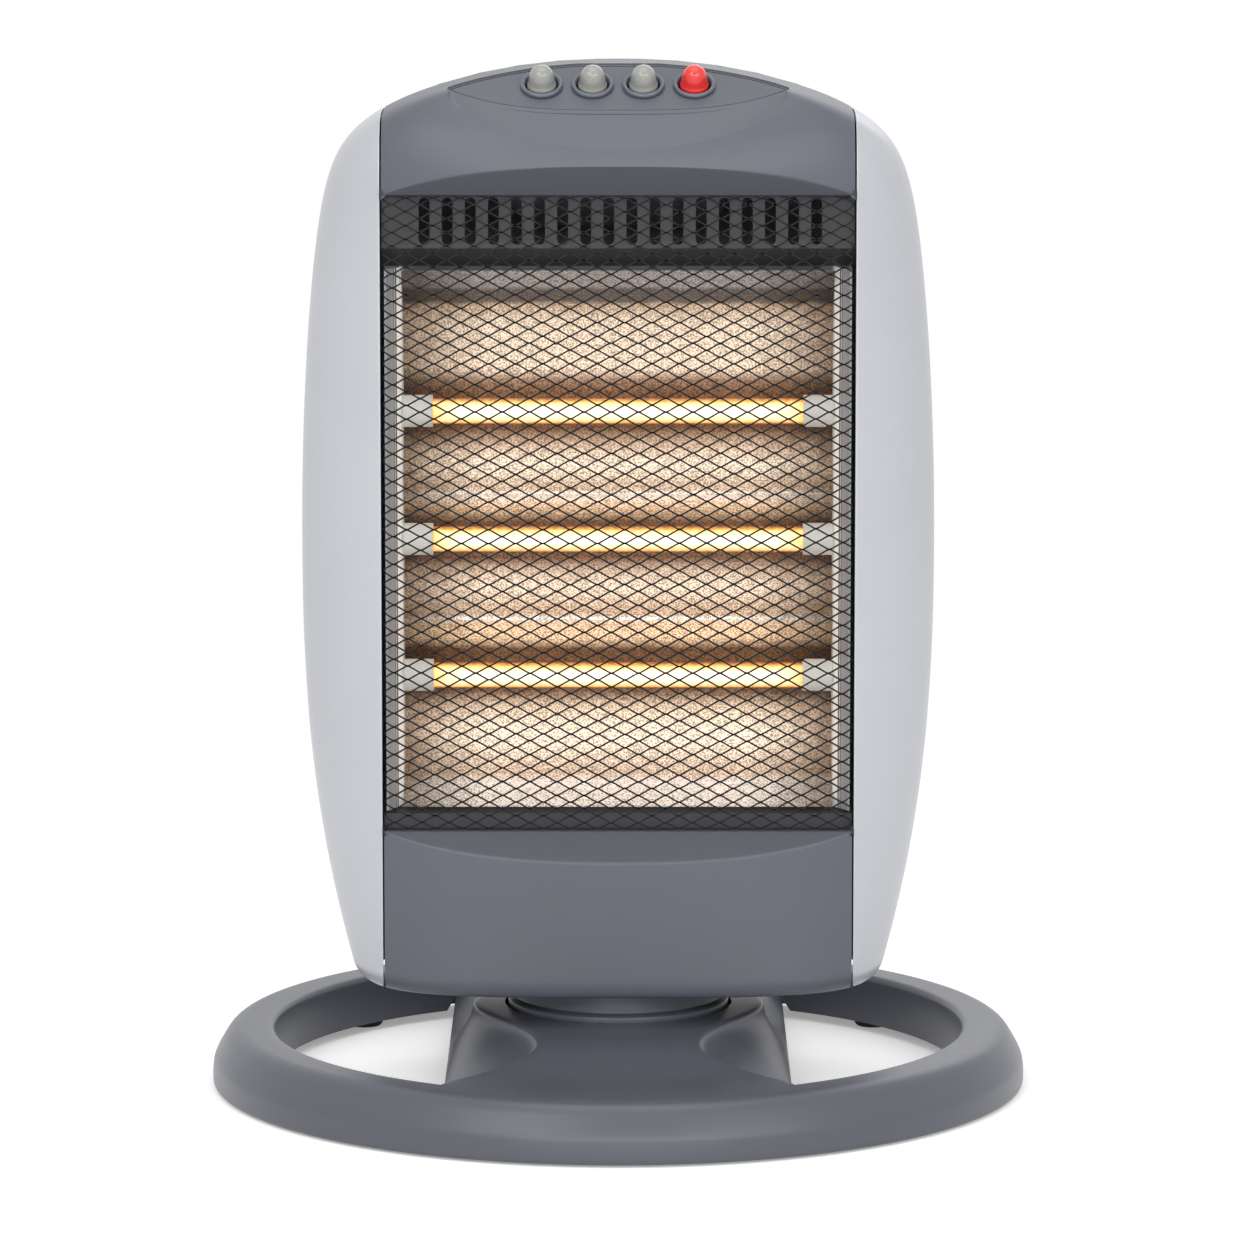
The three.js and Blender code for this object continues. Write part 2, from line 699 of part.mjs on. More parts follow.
// The lens outline of the control panel: a shallow arc in front and a fuller one behind, meeting at two tips.
function lens(grow) {
  const half = panelHalf + grow;
  const arc = (sagitta) => (half ** 2 + sagitta ** 2) / (2 * sagitta);
  const frontSagitta = deckHalf - panelTipDrop - panelMargin + grow;
  const backSagitta = deckHalf + panelTipDrop - panelMargin - 1.5 + grow;
  const frontRadius = arc(frontSagitta);
  const backRadius = arc(backSagitta);
  const frontAngle = Math.asin(half / frontRadius);
  const backAngle = Math.asin(half / backRadius);
  const shape = new THREE.Shape();
  const frontCentre = -panelTipDrop - frontSagitta + frontRadius;
  const backCentre = -panelTipDrop + backSagitta - backRadius;
  shape.absarc(0, frontCentre, frontRadius, -Math.PI / 2 - frontAngle, -Math.PI / 2 + frontAngle, false);
  shape.absarc(0, backCentre, backRadius, Math.PI / 2 - backAngle, Math.PI / 2 + backAngle, false);
  return shape;
}

function buttonHoles(radius) {
  const holes = buttonPlaces.map((x) => moved(drum(radius, -deckDepth - 2, 5, 16), x, 0, 0));
  return holes.reduce((all, hole) => all.add(hole));
}

const outsideBlank = headBlank(0);
const insideBlank = headBlank(wall);

function hood() {
  const outside = outsideBlank.subtract(aboveDeck(0)).subtract(beforeChin(0));
  const inside = insideBlank.subtract(aboveDeck(deckDepth)).subtract(beforeChin(wall));
  const shell = outside.intersect(hoodRegion(0)).subtract(inside.intersect(hoodRegion(wall)));
  const recess = alongZ(lens(seatGap), -panelThickness - seatGap, 10, 10);
  return shell.subtract(onDeck(recess)).subtract(onDeck(buttonHoles(bezelShank + seatGap)));
}

const swivelOpening = drum(neckRadius - 9, headBottom - 1, headBottom + wall + 1, 24);

function lowerFrontPanel() {
  const shell = outsideBlank.intersect(sillRegion(0)).subtract(insideBlank.intersect(sillRegion(wall)));
  return shell.subtract(swivelOpening);
}

function sidePanel(side) {
  const near = seamHalf + seamGap / 2;
  const far = widestHalf + 20;
  const region = block([near, -frontReach, headBottom - 5], [far, splitLine - seamGap / 2, headTop + 5]);
  const placed = side < 0 ? region.mirror([1, 0, 0]) : region;
  return outsideBlank.subtract(insideBlank).intersect(placed);
}

// How far back the rear of the housing lies at a place across it, at a height where the back is straight.
function rearReach(x, height) {
  const half = sideHalf(height);
  return backDepth * (1 - (Math.abs(x) / half) ** backPower) ** (1 / backPower);
}

const rearScrewPlaces = [];
for (const height of rearScrewHeights) {
  for (const side of [-1, 1]) {
    rearScrewPlaces.push({ x: side * rearScrewHalf, z: height, y: rearReach(rearScrewHalf, height) - 5 });
  }
}

// A drum whose axis runs from front to back.
function drumY(radius, front, back, segments) {
  return drum(radius, front, back, segments).rotate([-90, 0, 0]);
}

function rearCover() {
  const region = block([-widestHalf - 20, splitLine + seamGap / 2, headBottom - 5],
    [widestHalf + 20, backDepth + 20, headTop + 5]);
  let cover = outsideBlank.subtract(insideBlank).intersect(region);
  const gripFloor = backDepth - gripDepth;
  const gripMiddle = (gripBottom + gripTop) / 2;
  const gripRadius = (gripTop - gripBottom) / 2;
  const gripOutline = levelStadium(-gripHalf - wall, gripHalf + wall, gripMiddle, gripRadius + wall);
  const gripBox = alongY(gripOutline, gripFloor - wall, backDepth);
  cover = cover.add(gripBox.intersect(outsideBlank));
  cover = cover.subtract(
    alongY(levelStadium(-gripHalf, gripHalf, gripMiddle, gripRadius), gripFloor, backDepth + 5));
  for (const [start, count] of [[342, 4], [165, 4]]) {
    for (let index = 0; index < count; index += 1) {
      const middle = start + index * rearSlotPitch;
      const slot = levelStadium(-rearSlotHalf, rearSlotHalf, middle, rearSlotHeight / 2);
      cover = cover.subtract(alongY(slot, splitLine + 5, backDepth + 5, 2));
    }
  }
  for (const { x, y, z } of rearScrewPlaces) {
    const boss = moved(drumY(rearScrewHead + 3, y - rearScrewLength, y + 10, 8), x, 0, z);
    cover = cover.add(boss.intersect(outsideBlank));
    const headHole = drumY(rearScrewHead + 0.6, y, y + 20, 8);
    const shankHole = drumY(rearScrewRadius + seatGap, y - rearScrewLength - 1, y + 1, 8);
    cover = cover.subtract(moved(headHole, x, 0, z)).subtract(moved(shankHole, x, 0, z));
  }
  const glandHole = drumY(glandRadius + seatGap, splitLine + 5, backDepth + 5, 14);
  return cover.subtract(moved(glandHole, 0, 0, glandHeight)).subtract(swivelOpening);
}

function rearScrew({ x, y, z }) {
  const head = drumY(rearScrewHead, y + seatGap, y + seatGap + 2.2, 8);
  const shank = drumY(rearScrewRadius, y - rearScrewLength + 1, y + seatGap + 0.5, 8);
  return moved(head.add(shank), x, 0, z);
}

function gland() {
  const outer = backDepth + seatGap;
  const inner = backDepth - wall - seatGap;
  const body = drumY(glandRadius, inner - 4, outer + 1, 14);
  const flange = drumY(glandRadius + 3, outer, outer + 2.5, 14);
  const nose = drumY(glandRadius - 0.8, outer, outer + 9, 14);
  const clip = drumY(glandRadius + 1.6, inner - 3, inner, 14);
  const bore = drumY(glandBore, inner - 8, outer + 12, 10);
  return moved(body.add(flange).add(nose).add(clip).subtract(bore), 0, 0, glandHeight);
}

// ---- Control panel, drawn flat on the deck ----

function controlPanel() {
  const plate = alongZ(lens(0), -panelThickness, 0, 10);
  return plate.subtract(buttonHoles(bezelShank + seatGap));
}

function bezel() {
  const bore = buttonRadius + 0.35;
  const shankFoot = -deckDepth;
  return turned([
    [bore, shankFoot], [bezelShank, shankFoot], [bezelShank, seatGap], [bezelRadius, seatGap],
    [bezelRadius, bezelHeight * 0.6], [bezelRadius - 0.9, bezelHeight], [bezelRadius - 2, bezelHeight],
    [bore, bezelHeight - 0.9]], 12);
}

const blockTop = -deckDepth - seatGap;
const buttonFoot = blockTop + buttonTravel + seatGap;

function button() {
  const straight = buttonHeight - 8;
  const profile = [
    [0, blockTop - 6], [buttonStemRadius, blockTop - 6], [buttonStemRadius, buttonFoot],
    [buttonRadius, buttonFoot], [buttonRadius, straight]];
  for (let step = 1; step < 5; step += 1) {
    const angle = step * Math.PI / 10;
    const radius = buttonRadius * Math.cos(angle) ** 0.9;
    profile.push([radius, straight + (buttonHeight - straight) * Math.sin(angle)]);
  }
  profile.push([0, buttonHeight]);
  return turned(profile, 12);
}

function switchBlock() {
  const half = (buttonCount - 1) / 2 * buttonPitch + bezelRadius + 4;
  const foot = blockTop - switchBlockHeight;
  let body = block([-half, -switchBlockWidth / 2, foot], [half, switchBlockWidth / 2, blockTop]);
  for (const x of buttonPlaces) {
    const well = drum(buttonStemRadius + seatGap + 0.1, blockTop - 6 - buttonTravel - 1, blockTop + 1, 16);
    body = body.subtract(moved(well, x, 0, 0));
    const tag = block([x - 3, -0.5, foot - 6], [x + 3, 0.5, foot + 1]);
    body = body.add(tag);
  }
  return body;
}

// ---- Window ----

const windowHalf = seamHalf - seamGap / 2 - seatGap;

function ventPanel() {
  const top = windowTop - seatGap;
  const face = -ventDepth;
  const shape = shapeOf([
    [face, ventFold], [ledge - 6, ventFoot], [ledge - 6, ventFoot + 1.7],
    [face + ventThickness, ventFold + 1.2], [face + ventThickness, top], [face, top]]);
  let panel = alongX(shape, -windowHalf, windowHalf);
  const slotBottom = ventFold + 2.4;
  for (let index = 0; index < ventSlotCount; index += 1) {
    const x = (index - (ventSlotCount - 1) / 2) * ventSlotPitch;
    const slot = stadium(x, slotBottom, slotBottom + ventSlotHeight, ventSlotWidth / 2);
    panel = panel.subtract(alongY(slot, face - 2, face + 4, 2));
  }
  return panel;
}

function lowerTrim() {
  const bottom = windowBottom + seatGap;
  const face = -ventDepth;
  return alongX(shapeOf([
    [face, bottom], [ledge - 4, bottom], [ledge - 4, bottom + 1.4], [face + ventThickness, bottom + 1.4],
    [face + ventThickness, trimTop - 2.6], [ledge - 6, trimTop - 1.4], [ledge - 6, trimTop],
    [face, trimTop - 1.4]]), -windowHalf, windowHalf);
}

// A flat net of diamonds inside a border, with a flange all round that turns back to the housing. Where the
// border cuts a diamond, its half or quarter is left open.
function frontGuard() {
  const half = windowHalf;
  const bottom = windowBottom + seatGap;
  const top = windowTop - seatGap;
  const face = -seamDepth - guardThickness;
  const innerHalf = half - guardBorder;
  const innerBottom = bottom + guardBorder;
  const width = 2 * innerHalf / guardColumns;
  const height = (top - bottom - 2 * guardBorder) / guardRows;
  const slant = Math.hypot(width, height);
  const reachX = width / 2 - guardStrand / 2 * slant / height;
  const reachZ = height / 2 - guardStrand / 2 * slant / width;
  const lastRow = 2 * guardRows;
  const lastColumn = 2 * guardColumns;
  let gaps = null;
  for (let row = 0; row <= lastRow; row += 1) {
    for (let column = row % 2; column <= lastColumn; column += 2) {
      const x = -innerHalf + column * width / 2;
      const z = innerBottom + row * height / 2;
      const low = row > 0 ? z - reachZ : z;
      const high = row < lastRow ? z + reachZ : z;
      const left = column > 0 ? x - reachX : x;
      const right = column < lastColumn ? x + reachX : x;
      const diamond = shapeOf([[x, low], [right, z], [x, high], [left, z]]);
      const gap = alongY(diamond, face - 1, face + 2 * guardThickness);
      gaps = gaps ? gaps.add(gap) : gap;
    }
  }
  const plate = block([-half, face, bottom], [half, -seamDepth, top]);
  const rim = block([-half, face + guardThickness / 2, bottom], [half, -ventDepth - seatGap, top]);
  const edge = guardThickness;
  const hollow = block([-half + edge, face - 1, bottom + edge], [half - edge, -ventDepth, top - edge]);
  return plate.subtract(gaps).add(rim.subtract(hollow));
}

// The reflector's section: a lip, three rounded troughs that meet in cusps, and a lip.
function reflector() {
  const face = [[-reflectorLip, reflectorTop]];
  const deepest = reflectorCuspDepth - reflectorTroughDepth;
  for (let trough = 0; trough < tubeHeights.length; trough += 1) {
    const upper = reflectorBends[trough];
    const lower = reflectorBends[trough + 1];
    const steps = 7;
    for (let step = trough === 0 ? 0 : 1; step <= steps; step += 1) {
      const share = step / steps;
      const sink = Math.sin(share * Math.PI) ** 0.7;
      const depth = reflectorCuspDepth - (reflectorCuspDepth - deepest) * sink;
      face.push([-depth, upper + (lower - upper) * share]);
    }
  }
  face.push([-reflectorLip, reflectorBottom]);
  const back = face.map(([y, z]) => [y + reflectorSheet, z]);
  back[0] = [-reflectorLip, reflectorTop + reflectorSheet];
  back[back.length - 1] = [-reflectorLip, reflectorBottom - reflectorSheet];
  return alongX(shapeOf([...face, ...back.reverse()]), -reflectorHalf, reflectorHalf);
}

function heatShield() {
  const top = ventFoot - seatGap - 1;
  const bottom = trimTop + seatGap + 1;
  return alongX(shapeOf([
    [0, bottom], [shieldSheet, bottom], [shieldSheet, top], [0, top]]), -windowHalf, windowHalf);
}

// A bright plate at one end of the reflector, which carries the tube caps and flares out towards the guard.
function endPlate(side) {
  const inner = reflectorHalf + seatGap;
  const outer = inner + endPlateSheet;
  const tip = ventDepth + 2;
  const back = -seatGap;
  const shape = shapeOf([
    [inner, back], [inner, -endPlateElbow], [inner + endPlateFlare, -tip], [outer + endPlateFlare, -tip],
    [outer, -endPlateElbow], [outer, back]]);
  let plate = alongZ(shape, trimTop + seatGap, ventFoot - seatGap);
  for (const height of tubeHeights) {
    const hole = drum(capStemRadius + seatGap, inner - 2, outer + 2, 16).rotate([0, 90, 0]);
    plate = plate.subtract(moved(hole, 0, -tubeDepth, height));
  }
  return side < 0 ? plate.mirror([1, 0, 0]) : plate;
}

// Pieces of a tube are turned about the Z axis and then laid along X.
function laid(solid, height, side = 1) {
  return moved(solid.rotate([0, 90 * side, 0]), 0, -tubeDepth, height);
}

function halogenTube(height) {
  const inner = tubeRadius - tubeWall;
  return laid(turned([
    [inner, -tubeHalf], [tubeRadius, -tubeHalf], [tubeRadius, tubeHalf], [inner, tubeHalf]], 16), height);
}

function filament(height) {
  const lead = tubeHalf;
  return laid(turned([
    [0, -lead], [filamentLeadRadius, -lead], [filamentLeadRadius, -filamentHalf],
    [filamentRadius, -filamentHalf], [filamentRadius, filamentHalf],
    [filamentLeadRadius, filamentHalf], [filamentLeadRadius, lead], [0, lead]], 8), height);
}

function tubeCap(height, side) {
  const seat = tubeHalf + seatGap;
  const shoulder = reflectorHalf;
  const stemEnd = reflectorHalf + seatGap + endPlateSheet + 2;
  const socket = tubeRadius + seatGap;
  return laid(turned([
    [0, seat], [socket, seat], [socket, seat - capSocketDepth], [capRadius, seat - capSocketDepth],
    [capRadius, shoulder], [capStemRadius, shoulder],
    [capStemRadius, stemEnd], [0, stemEnd]], 12), height, side);
}

function thermalCutout() {
  const face = shieldSheet + seatGap;
  const body = drumY(8, face, face + 7, 16);
  const leftTag = block([-5, face + 6, -1.5], [-3, face + 12, 1.5]);
  const rightTag = block([3, face + 6, -1.5], [5, face + 12, 1.5]);
  return moved(body.add(leftTag).add(rightTag), 55, 0, (reflectorTop + tubeHeights[0]) / 2);
}

// ---- Inside the foot of the head ----

function chassisBracket() {
  const low = headBottom + wall + seatGap;
  const reach = bracketReach;
  const shape = shapeOf([
    [-reach - bracketFoot, low], [-reach + bracketSheet, low],
    [-reach + bracketSheet, bracketTop - bracketSheet], [reach - bracketSheet, bracketTop - bracketSheet],
    [reach - bracketSheet, low], [reach + bracketFoot, low],
    [reach + bracketFoot, low + bracketSheet], [reach, low + bracketSheet], [reach, bracketTop],
    [-reach, bracketTop], [-reach, low + bracketSheet], [-reach - bracketFoot, low + bracketSheet]]);
  const shaftHole = moved(drum(crankShaftRadius + 2, bracketTop - 4, bracketTop + 1, 16), 0, crankOffset, 0);
  return alongX(shape, -bracketHalf, bracketHalf).subtract(shaftHole);
}

const tiltAxis = { x: -54, y: -8, z: bracketTop + 20 };
const tiltPinRadius = 1.4;

function tiltSwitchBracket() {
  const low = bracketTop + seatGap;
  const cheek = (x) => block([x - 1, -7, low], [x + 1, 7, tiltAxis.z + 5]);
  const shell = block([-7, -7, low], [7, 7, low + 1.6]).add(cheek(-6)).add(cheek(6));
  const hole = moved(drum(tiltPinRadius + seatGap, -10, 10, 12).rotate([0, 90, 0]), 0, 0, tiltAxis.z);
  return moved(shell.subtract(hole), tiltAxis.x, tiltAxis.y, 0);
}

function tiltWeight() {
  const pin = drum(tiltPinRadius, -8, 8, 12).rotate([0, 90, 0]);
  const bar = block([-2, -1, -10], [2, 1, 1]);
  const bob = turned([[0, -15], [3.6, -15], [4.4, -14], [4.4, -8], [0, -7]], 16);
  return moved(pin.add(bar).add(bob), tiltAxis.x, tiltAxis.y, tiltAxis.z);
}

function terminalBlock() {
  const low = bracketTop + seatGap;
  let body = block([38, -18, low], [66, 18, low + 11]);
  for (let index = 0; index < 3; index += 1) {
    body = body.subtract(moved(drum(2, low + 3, low + 12, 10), 45, -11 + index * 11, 0));
    body = body.subtract(moved(drum(2, low + 3, low + 12, 10), 59, -11 + index * 11, 0));
  }
  return body;
}

// ---- Assembly ----

const heater = new THREE.Group();
const base = new THREE.Group();
const head = new THREE.Group();
const deck = new THREE.Group();
deck.position.set(0, -deckMiddle, deckMiddleHeight);
deck.rotation.x = radians(deckTilt);
head.add(deck);
heater.add(base, head);

addPiece(base, 'base_ring', baseRing(), baseMaterial);
footAngles.forEach((angle, index) => {
  const pad = addPiece(base, `foot_${index + 1}`, foot(), rubberMaterial);
  pad.position.set(footCircle * Math.cos(angle), footCircle * Math.sin(angle), 0);
});
addPiece(base, 'pivot_spindle', spindle(), steelMaterial);
addPiece(base, 'spindle_washer', washer(), steelMaterial);
addPiece(base, 'spindle_nut', nut(), steelMaterial);
addPiece(base, 'guide_plate', guidePlate(), steelMaterial);
guideScrewAngles.forEach((angle, index) => {
  const screw = addPiece(base, `guide_screw_${index + 1}`, guideScrew(), steelMaterial);
  screw.position.set(guideScrewCircle * Math.cos(angle), guideScrewCircle * Math.sin(angle), 0);
});

addPiece(head, 'turntable_disc', turntableDisc(), baseMaterial);
addPiece(head, 'chassis_bracket', chassisBracket(), steelMaterial);
addPiece(head, 'swing_motor', motor(), steelMaterial).position.y = crankOffset;
addPiece(head, 'crank', crank(), steelMaterial).position.y = crankOffset;
addPiece(head, 'tilt_switch_bracket', tiltSwitchBracket(), switchMaterial);
addPiece(head, 'tilt_weight', tiltWeight(), steelMaterial);
addPiece(head, 'terminal_block', terminalBlock(), ceramicMaterial);
addPiece(head, 'hood', hood(), housingMaterial);
addPiece(head, 'lower_front_panel', lowerFrontPanel(), housingMaterial);
addPiece(head, 'side_panel_left', sidePanel(-1), silverMaterial);
addPiece(head, 'side_panel_right', sidePanel(1), silverMaterial);
addPiece(head, 'rear_cover', rearCover(), housingMaterial);
rearScrewPlaces.forEach((place, index) => {
  addPiece(head, `rear_screw_${index + 1}`, rearScrew(place), steelMaterial);
});
addPiece(head, 'cord_gland', gland(), rubberMaterial);
addPiece(head, 'vent_panel', ventPanel(), blackMaterial);
addPiece(head, 'lower_trim', lowerTrim(), blackMaterial);
addPiece(head, 'front_guard', frontGuard(), blackMaterial);
addPiece(head, 'reflector', reflector(), brightMaterial);
addPiece(head, 'reflector_end_left', endPlate(-1), brightMaterial);
addPiece(head, 'reflector_end_right', endPlate(1), brightMaterial);
addPiece(head, 'heat_shield', heatShield(), steelMaterial);
addPiece(head, 'thermal_cutout', thermalCutout(), steelMaterial);
tubeHeights.forEach((height, index) => {
  addPiece(head, `halogen_tube_${index + 1}`, halogenTube(height), quartzMaterial);
  addPiece(head, `filament_${index + 1}`, filament(height), glowMaterial);
  addPiece(head, `tube_cap_left_${index + 1}`, tubeCap(height, -1), ceramicMaterial);
  addPiece(head, `tube_cap_right_${index + 1}`, tubeCap(height, 1), ceramicMaterial);
});

addPiece(deck, 'control_panel', controlPanel(), housingMaterial);
addPiece(deck, 'switch_block', switchBlock(), switchMaterial);
buttonPlaces.forEach((x, index) => {
  const last = index === buttonCount - 1;
  addPiece(deck, `bezel_${index + 1}`, bezel(), bezelMaterial).position.x = x;
  addPiece(deck, `button_${index + 1}`, button(), last ? redMaterial : buttonMaterial).position.x = x;
});

export default heater;
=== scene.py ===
import math
import bpy
import bmesh
import numpy as np
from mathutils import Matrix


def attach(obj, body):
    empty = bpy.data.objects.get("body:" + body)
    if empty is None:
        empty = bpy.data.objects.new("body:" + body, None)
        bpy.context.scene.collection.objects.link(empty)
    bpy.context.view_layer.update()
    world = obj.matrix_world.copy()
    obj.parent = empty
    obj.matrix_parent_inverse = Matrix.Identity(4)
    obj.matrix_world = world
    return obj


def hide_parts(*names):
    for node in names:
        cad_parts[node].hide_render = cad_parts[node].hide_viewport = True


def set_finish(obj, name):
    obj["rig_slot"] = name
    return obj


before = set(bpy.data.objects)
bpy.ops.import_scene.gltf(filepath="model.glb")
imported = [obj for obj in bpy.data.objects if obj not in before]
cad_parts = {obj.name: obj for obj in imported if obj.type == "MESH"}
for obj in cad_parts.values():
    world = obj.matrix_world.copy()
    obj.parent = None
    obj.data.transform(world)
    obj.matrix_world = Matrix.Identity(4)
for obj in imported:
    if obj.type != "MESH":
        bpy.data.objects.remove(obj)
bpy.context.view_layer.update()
scene = bpy.context.scene
scene.view_settings.view_transform = "Standard"
mm = 0.001

# The camera stands straight in front and a little above, as the photograph's did.
cameraValues = {"across": 0.0042, "away": 3.2, "height": 0.689, "pitch": 8.34, "lens": 194.35}


def makeCamera(values):
    data = bpy.data.cameras.new("camera")
    data.lens = values["lens"]
    data.sensor_width = 36
    data.clip_end = 60
    camera = bpy.data.objects.new("camera", data)
    scene.collection.objects.link(camera)
    camera.location = (values["across"], -values["away"], values["height"])
    camera.rotation_euler = (math.radians(90 - values["pitch"]), 0, 0)
    scene.camera = camera


makeCamera(cameraValues)
print("camera made")


# Shapes are worked out in millimetres, as arrays of x, y and z.

# A grid of points as quads, rows then columns; the columns can close on themselves.
def gridFaces(rows, columns, closed=False):
    along = np.arange(columns if closed else columns - 1)
    row, column = np.meshgrid(np.arange(rows - 1), along, indexing="ij")
    nextColumn = (column + 1) % columns
    corners = [row * columns + column, row * columns + nextColumn,
               (row + 1) * columns + nextColumn, (row + 1) * columns + column]
    return np.stack(corners, axis=-1).reshape(-1, 4)


# One object from points and quads, turned so that its faces look away from the given middle.
def meshPiece(name, points, faces, middle=None):
    points = np.asarray(points, float).reshape(-1, 3)
    if middle is not None:
        a, b, c, d = (points[faces[:, k]] for k in range(4))
        outward = np.cross(c - a, d - b)
        reach = (a + b + c + d) / 4 - np.asarray(middle, float)
        if np.sum(outward * reach) < 0:
            faces = faces[:, ::-1]
    mesh = bpy.data.meshes.new(name)
    mesh.vertices.add(len(points))
    mesh.vertices.foreach_set("co", (points * mm).ravel())
    mesh.loops.add(faces.size)
    mesh.loops.foreach_set("vertex_index", np.ascontiguousarray(faces).ravel())
    mesh.polygons.add(len(faces))
    mesh.polygons.foreach_set("loop_start", np.arange(0, faces.size, faces.shape[1]))
    mesh.polygons.foreach_set("use_smooth", np.ones(len(faces), bool))
    mesh.update(calc_edges=True)
    mesh.validate()
    piece = bpy.data.objects.new(name, mesh)
    scene.collection.objects.link(piece)
    return piece


# Makes edges sharper than an angle hard, and leaves the rest smooth.
def sharpen(piece, degrees):
    piece.data.set_sharp_from_angle(angle=math.radians(degrees))


# Turns the faces of a closed shape outwards.
def faceOut(piece):
    shape = bmesh.new()
    shape.from_mesh(piece.data)
    bmesh.ops.recalc_face_normals(shape, faces=shape.faces)
    shape.to_mesh(piece.data)
    shape.free()
    piece.data.polygons.foreach_set("use_smooth", np.ones(len(piece.data.polygons), bool))


# Cuts a piece with another, which is then deleted.
def cut(piece, cutter):
    change = piece.modifiers.new("cut", "BOOLEAN")
    change.operation = "DIFFERENCE"
    change.solver = "EXACT"
    change.object = cutter
    settle(piece)
    bpy.data.objects.remove(cutter)


# Puts the result of a piece's modifiers in its mesh.
def settle(piece):
    graph = bpy.context.evaluated_depsgraph_get()
    mesh = bpy.data.meshes.new_from_object(piece.evaluated_get(graph))
    piece.modifiers.clear()
    piece.data = mesh


# Gives a surface a wall, inwards from it.
def thicken(piece, wall):
    change = piece.modifiers.new("wall", "SOLIDIFY")
    change.thickness = wall * mm
    change.offset = -1
    change.use_even_offset = False
    settle(piece)


# A shell from a grid whose outer surface faces away from the middle.
def makeShell(name, grid, wall, middle):
    piece = meshPiece(name, grid, gridFaces(*grid.shape[:2]), middle)
    thicken(piece, wall)
    return piece


def readPoints(piece):
    points = np.zeros(len(piece.data.vertices) * 3)
    piece.data.vertices.foreach_get("co", points)
    return points.reshape(-1, 3)


def writePoints(piece, points):
    piece.data.vertices.foreach_set("co", points.ravel())
    piece.data.update()


# Brings points that a thickened corner pushed past a limit back to it, along one axis.
def keepInside(piece, axis, low, high):
    points = readPoints(piece)
    points[:, axis] = np.clip(points[:, axis], low * mm, high * mm)
    writePoints(piece, points)


# Joins pieces into the first of them.
def joined(pieces):
    with bpy.context.temp_override(active_object=pieces[0], selected_editable_objects=pieces):
        bpy.ops.object.join()
    return pieces[0]


# A profile of (radius, height) turned about the upright axis: x = r cos a, y = r sin a.
def turned(profile, sides):
    profile = np.asarray(profile, float)
    angles = np.linspace(0, 2 * np.pi, sides, endpoint=False)
    radius, height = profile[:, :1], profile[:, 1:]
    return np.stack([radius * np.cos(angles), radius * np.sin(angles), height + 0 * angles], axis=-1)


def lathe(name, profile, sides, middle=None):
    piece = meshPiece(name, turned(profile, sides), gridFaces(len(profile), sides, True), middle)
    if middle is None:
        faceOut(piece)
    return piece


# Replaces the corners of a profile by short quadratic arcs that start a fillet's length from them.
def rounded(profile, fillet, steps=5):
    profile = np.asarray(profile, float)
    rows = [profile[:1]]
    share = np.linspace(0, 1, steps)[:, None]
    for before, corner, after in zip(profile[:-2], profile[1:-1], profile[2:]):
        inward, outward = before - corner, after - corner
        back = min(fillet, 0.45 * np.hypot(*inward)) * inward / max(np.hypot(*inward), 1e-9)
        on = min(fillet, 0.45 * np.hypot(*outward)) * outward / max(np.hypot(*outward), 1e-9)
        rows.append(corner + back * (1 - share) ** 2 + on * share ** 2)
    rows.append(profile[-1:])
    return np.concatenate(rows)


# Sinks the rim of a grid inwards by a quarter circle: at a distance s from the edge the drop is
# r - sqrt(r^2 - (r - s)^2). Inwards is the side that faces the middle.
def rollRim(grid, radius, middle, firstRow=True, columns=True):
    normal = np.cross(np.gradient(grid, axis=0), np.gradient(grid, axis=1))
    normal /= np.maximum(np.linalg.norm(normal, axis=-1, keepdims=True), 1e-12)
    distance = np.full(grid.shape[:2], np.inf)
    for axis, first, last in ((0, firstRow, True), (1, columns, columns)):
        steps = np.linalg.norm(np.diff(grid, axis=axis), axis=-1)
        run = np.cumsum(np.pad(steps, [(1, 0), (0, 0)] if axis == 0 else [(0, 0), (1, 0)]), axis=axis)
        if first:
            distance = np.minimum(distance, run)
        if last:
            distance = np.minimum(distance, np.take(run, [-1], axis=axis) - run)
    near = np.clip(radius - distance, 0, radius)
    drop = radius - np.sqrt(radius ** 2 - near ** 2)
    facing = np.sign(np.sum(normal * (grid - np.asarray(middle, float))))
    return grid - facing * normal * drop[..., None]


# Positions from 0 to 1 with extra ones close to both ends.
def edged(count, length, radius=0.9):
    inner = np.linspace(0, 1, count)
    extra = np.array([0.06, 0.2, 0.45, 0.8, 1.2]) * radius / length
    return np.unique(np.round(np.concatenate([inner, extra, 1 - extra]), 9))


# The head's blank is the one surface that all its mouldings are cut from.
head = {"bottom": 52, "top": 489.4, "widest": 150.8, "widestHeight": 264, "topHalf": 137, "topHalfHeight": 470,
        "bottomHalf": 124.5, "crown": 310, "crownPower": 7, "front": 66, "back": 60, "backPower": 2.9,
        "frontEnd": 10, "frontStart": 436, "backEnd": 26, "backStart": 430, "roll": 9, "seam": 111.2,
        "seamDepth": 46, "split": -28, "windowBottom": 129, "windowTop": 430.2, "ledge": 24.0, "gap": 0.4,
        "rim": 0.8}


# Half the width at a height: w = w0 - k s^2 above the widest level and w0 - k s^2.5 below it.
def sideHalf(height):
    up = np.clip((height - head["widestHeight"]) / (head["topHalfHeight"] - head["widestHeight"]), 0, None)
    down = np.clip((head["widestHeight"] - height) / (head["widestHeight"] - head["bottom"]), 0, None)
    return (head["widest"] - (head["widest"] - head["topHalf"]) * up ** 2
            - (head["widest"] - head["bottomHalf"]) * down ** 2.5)


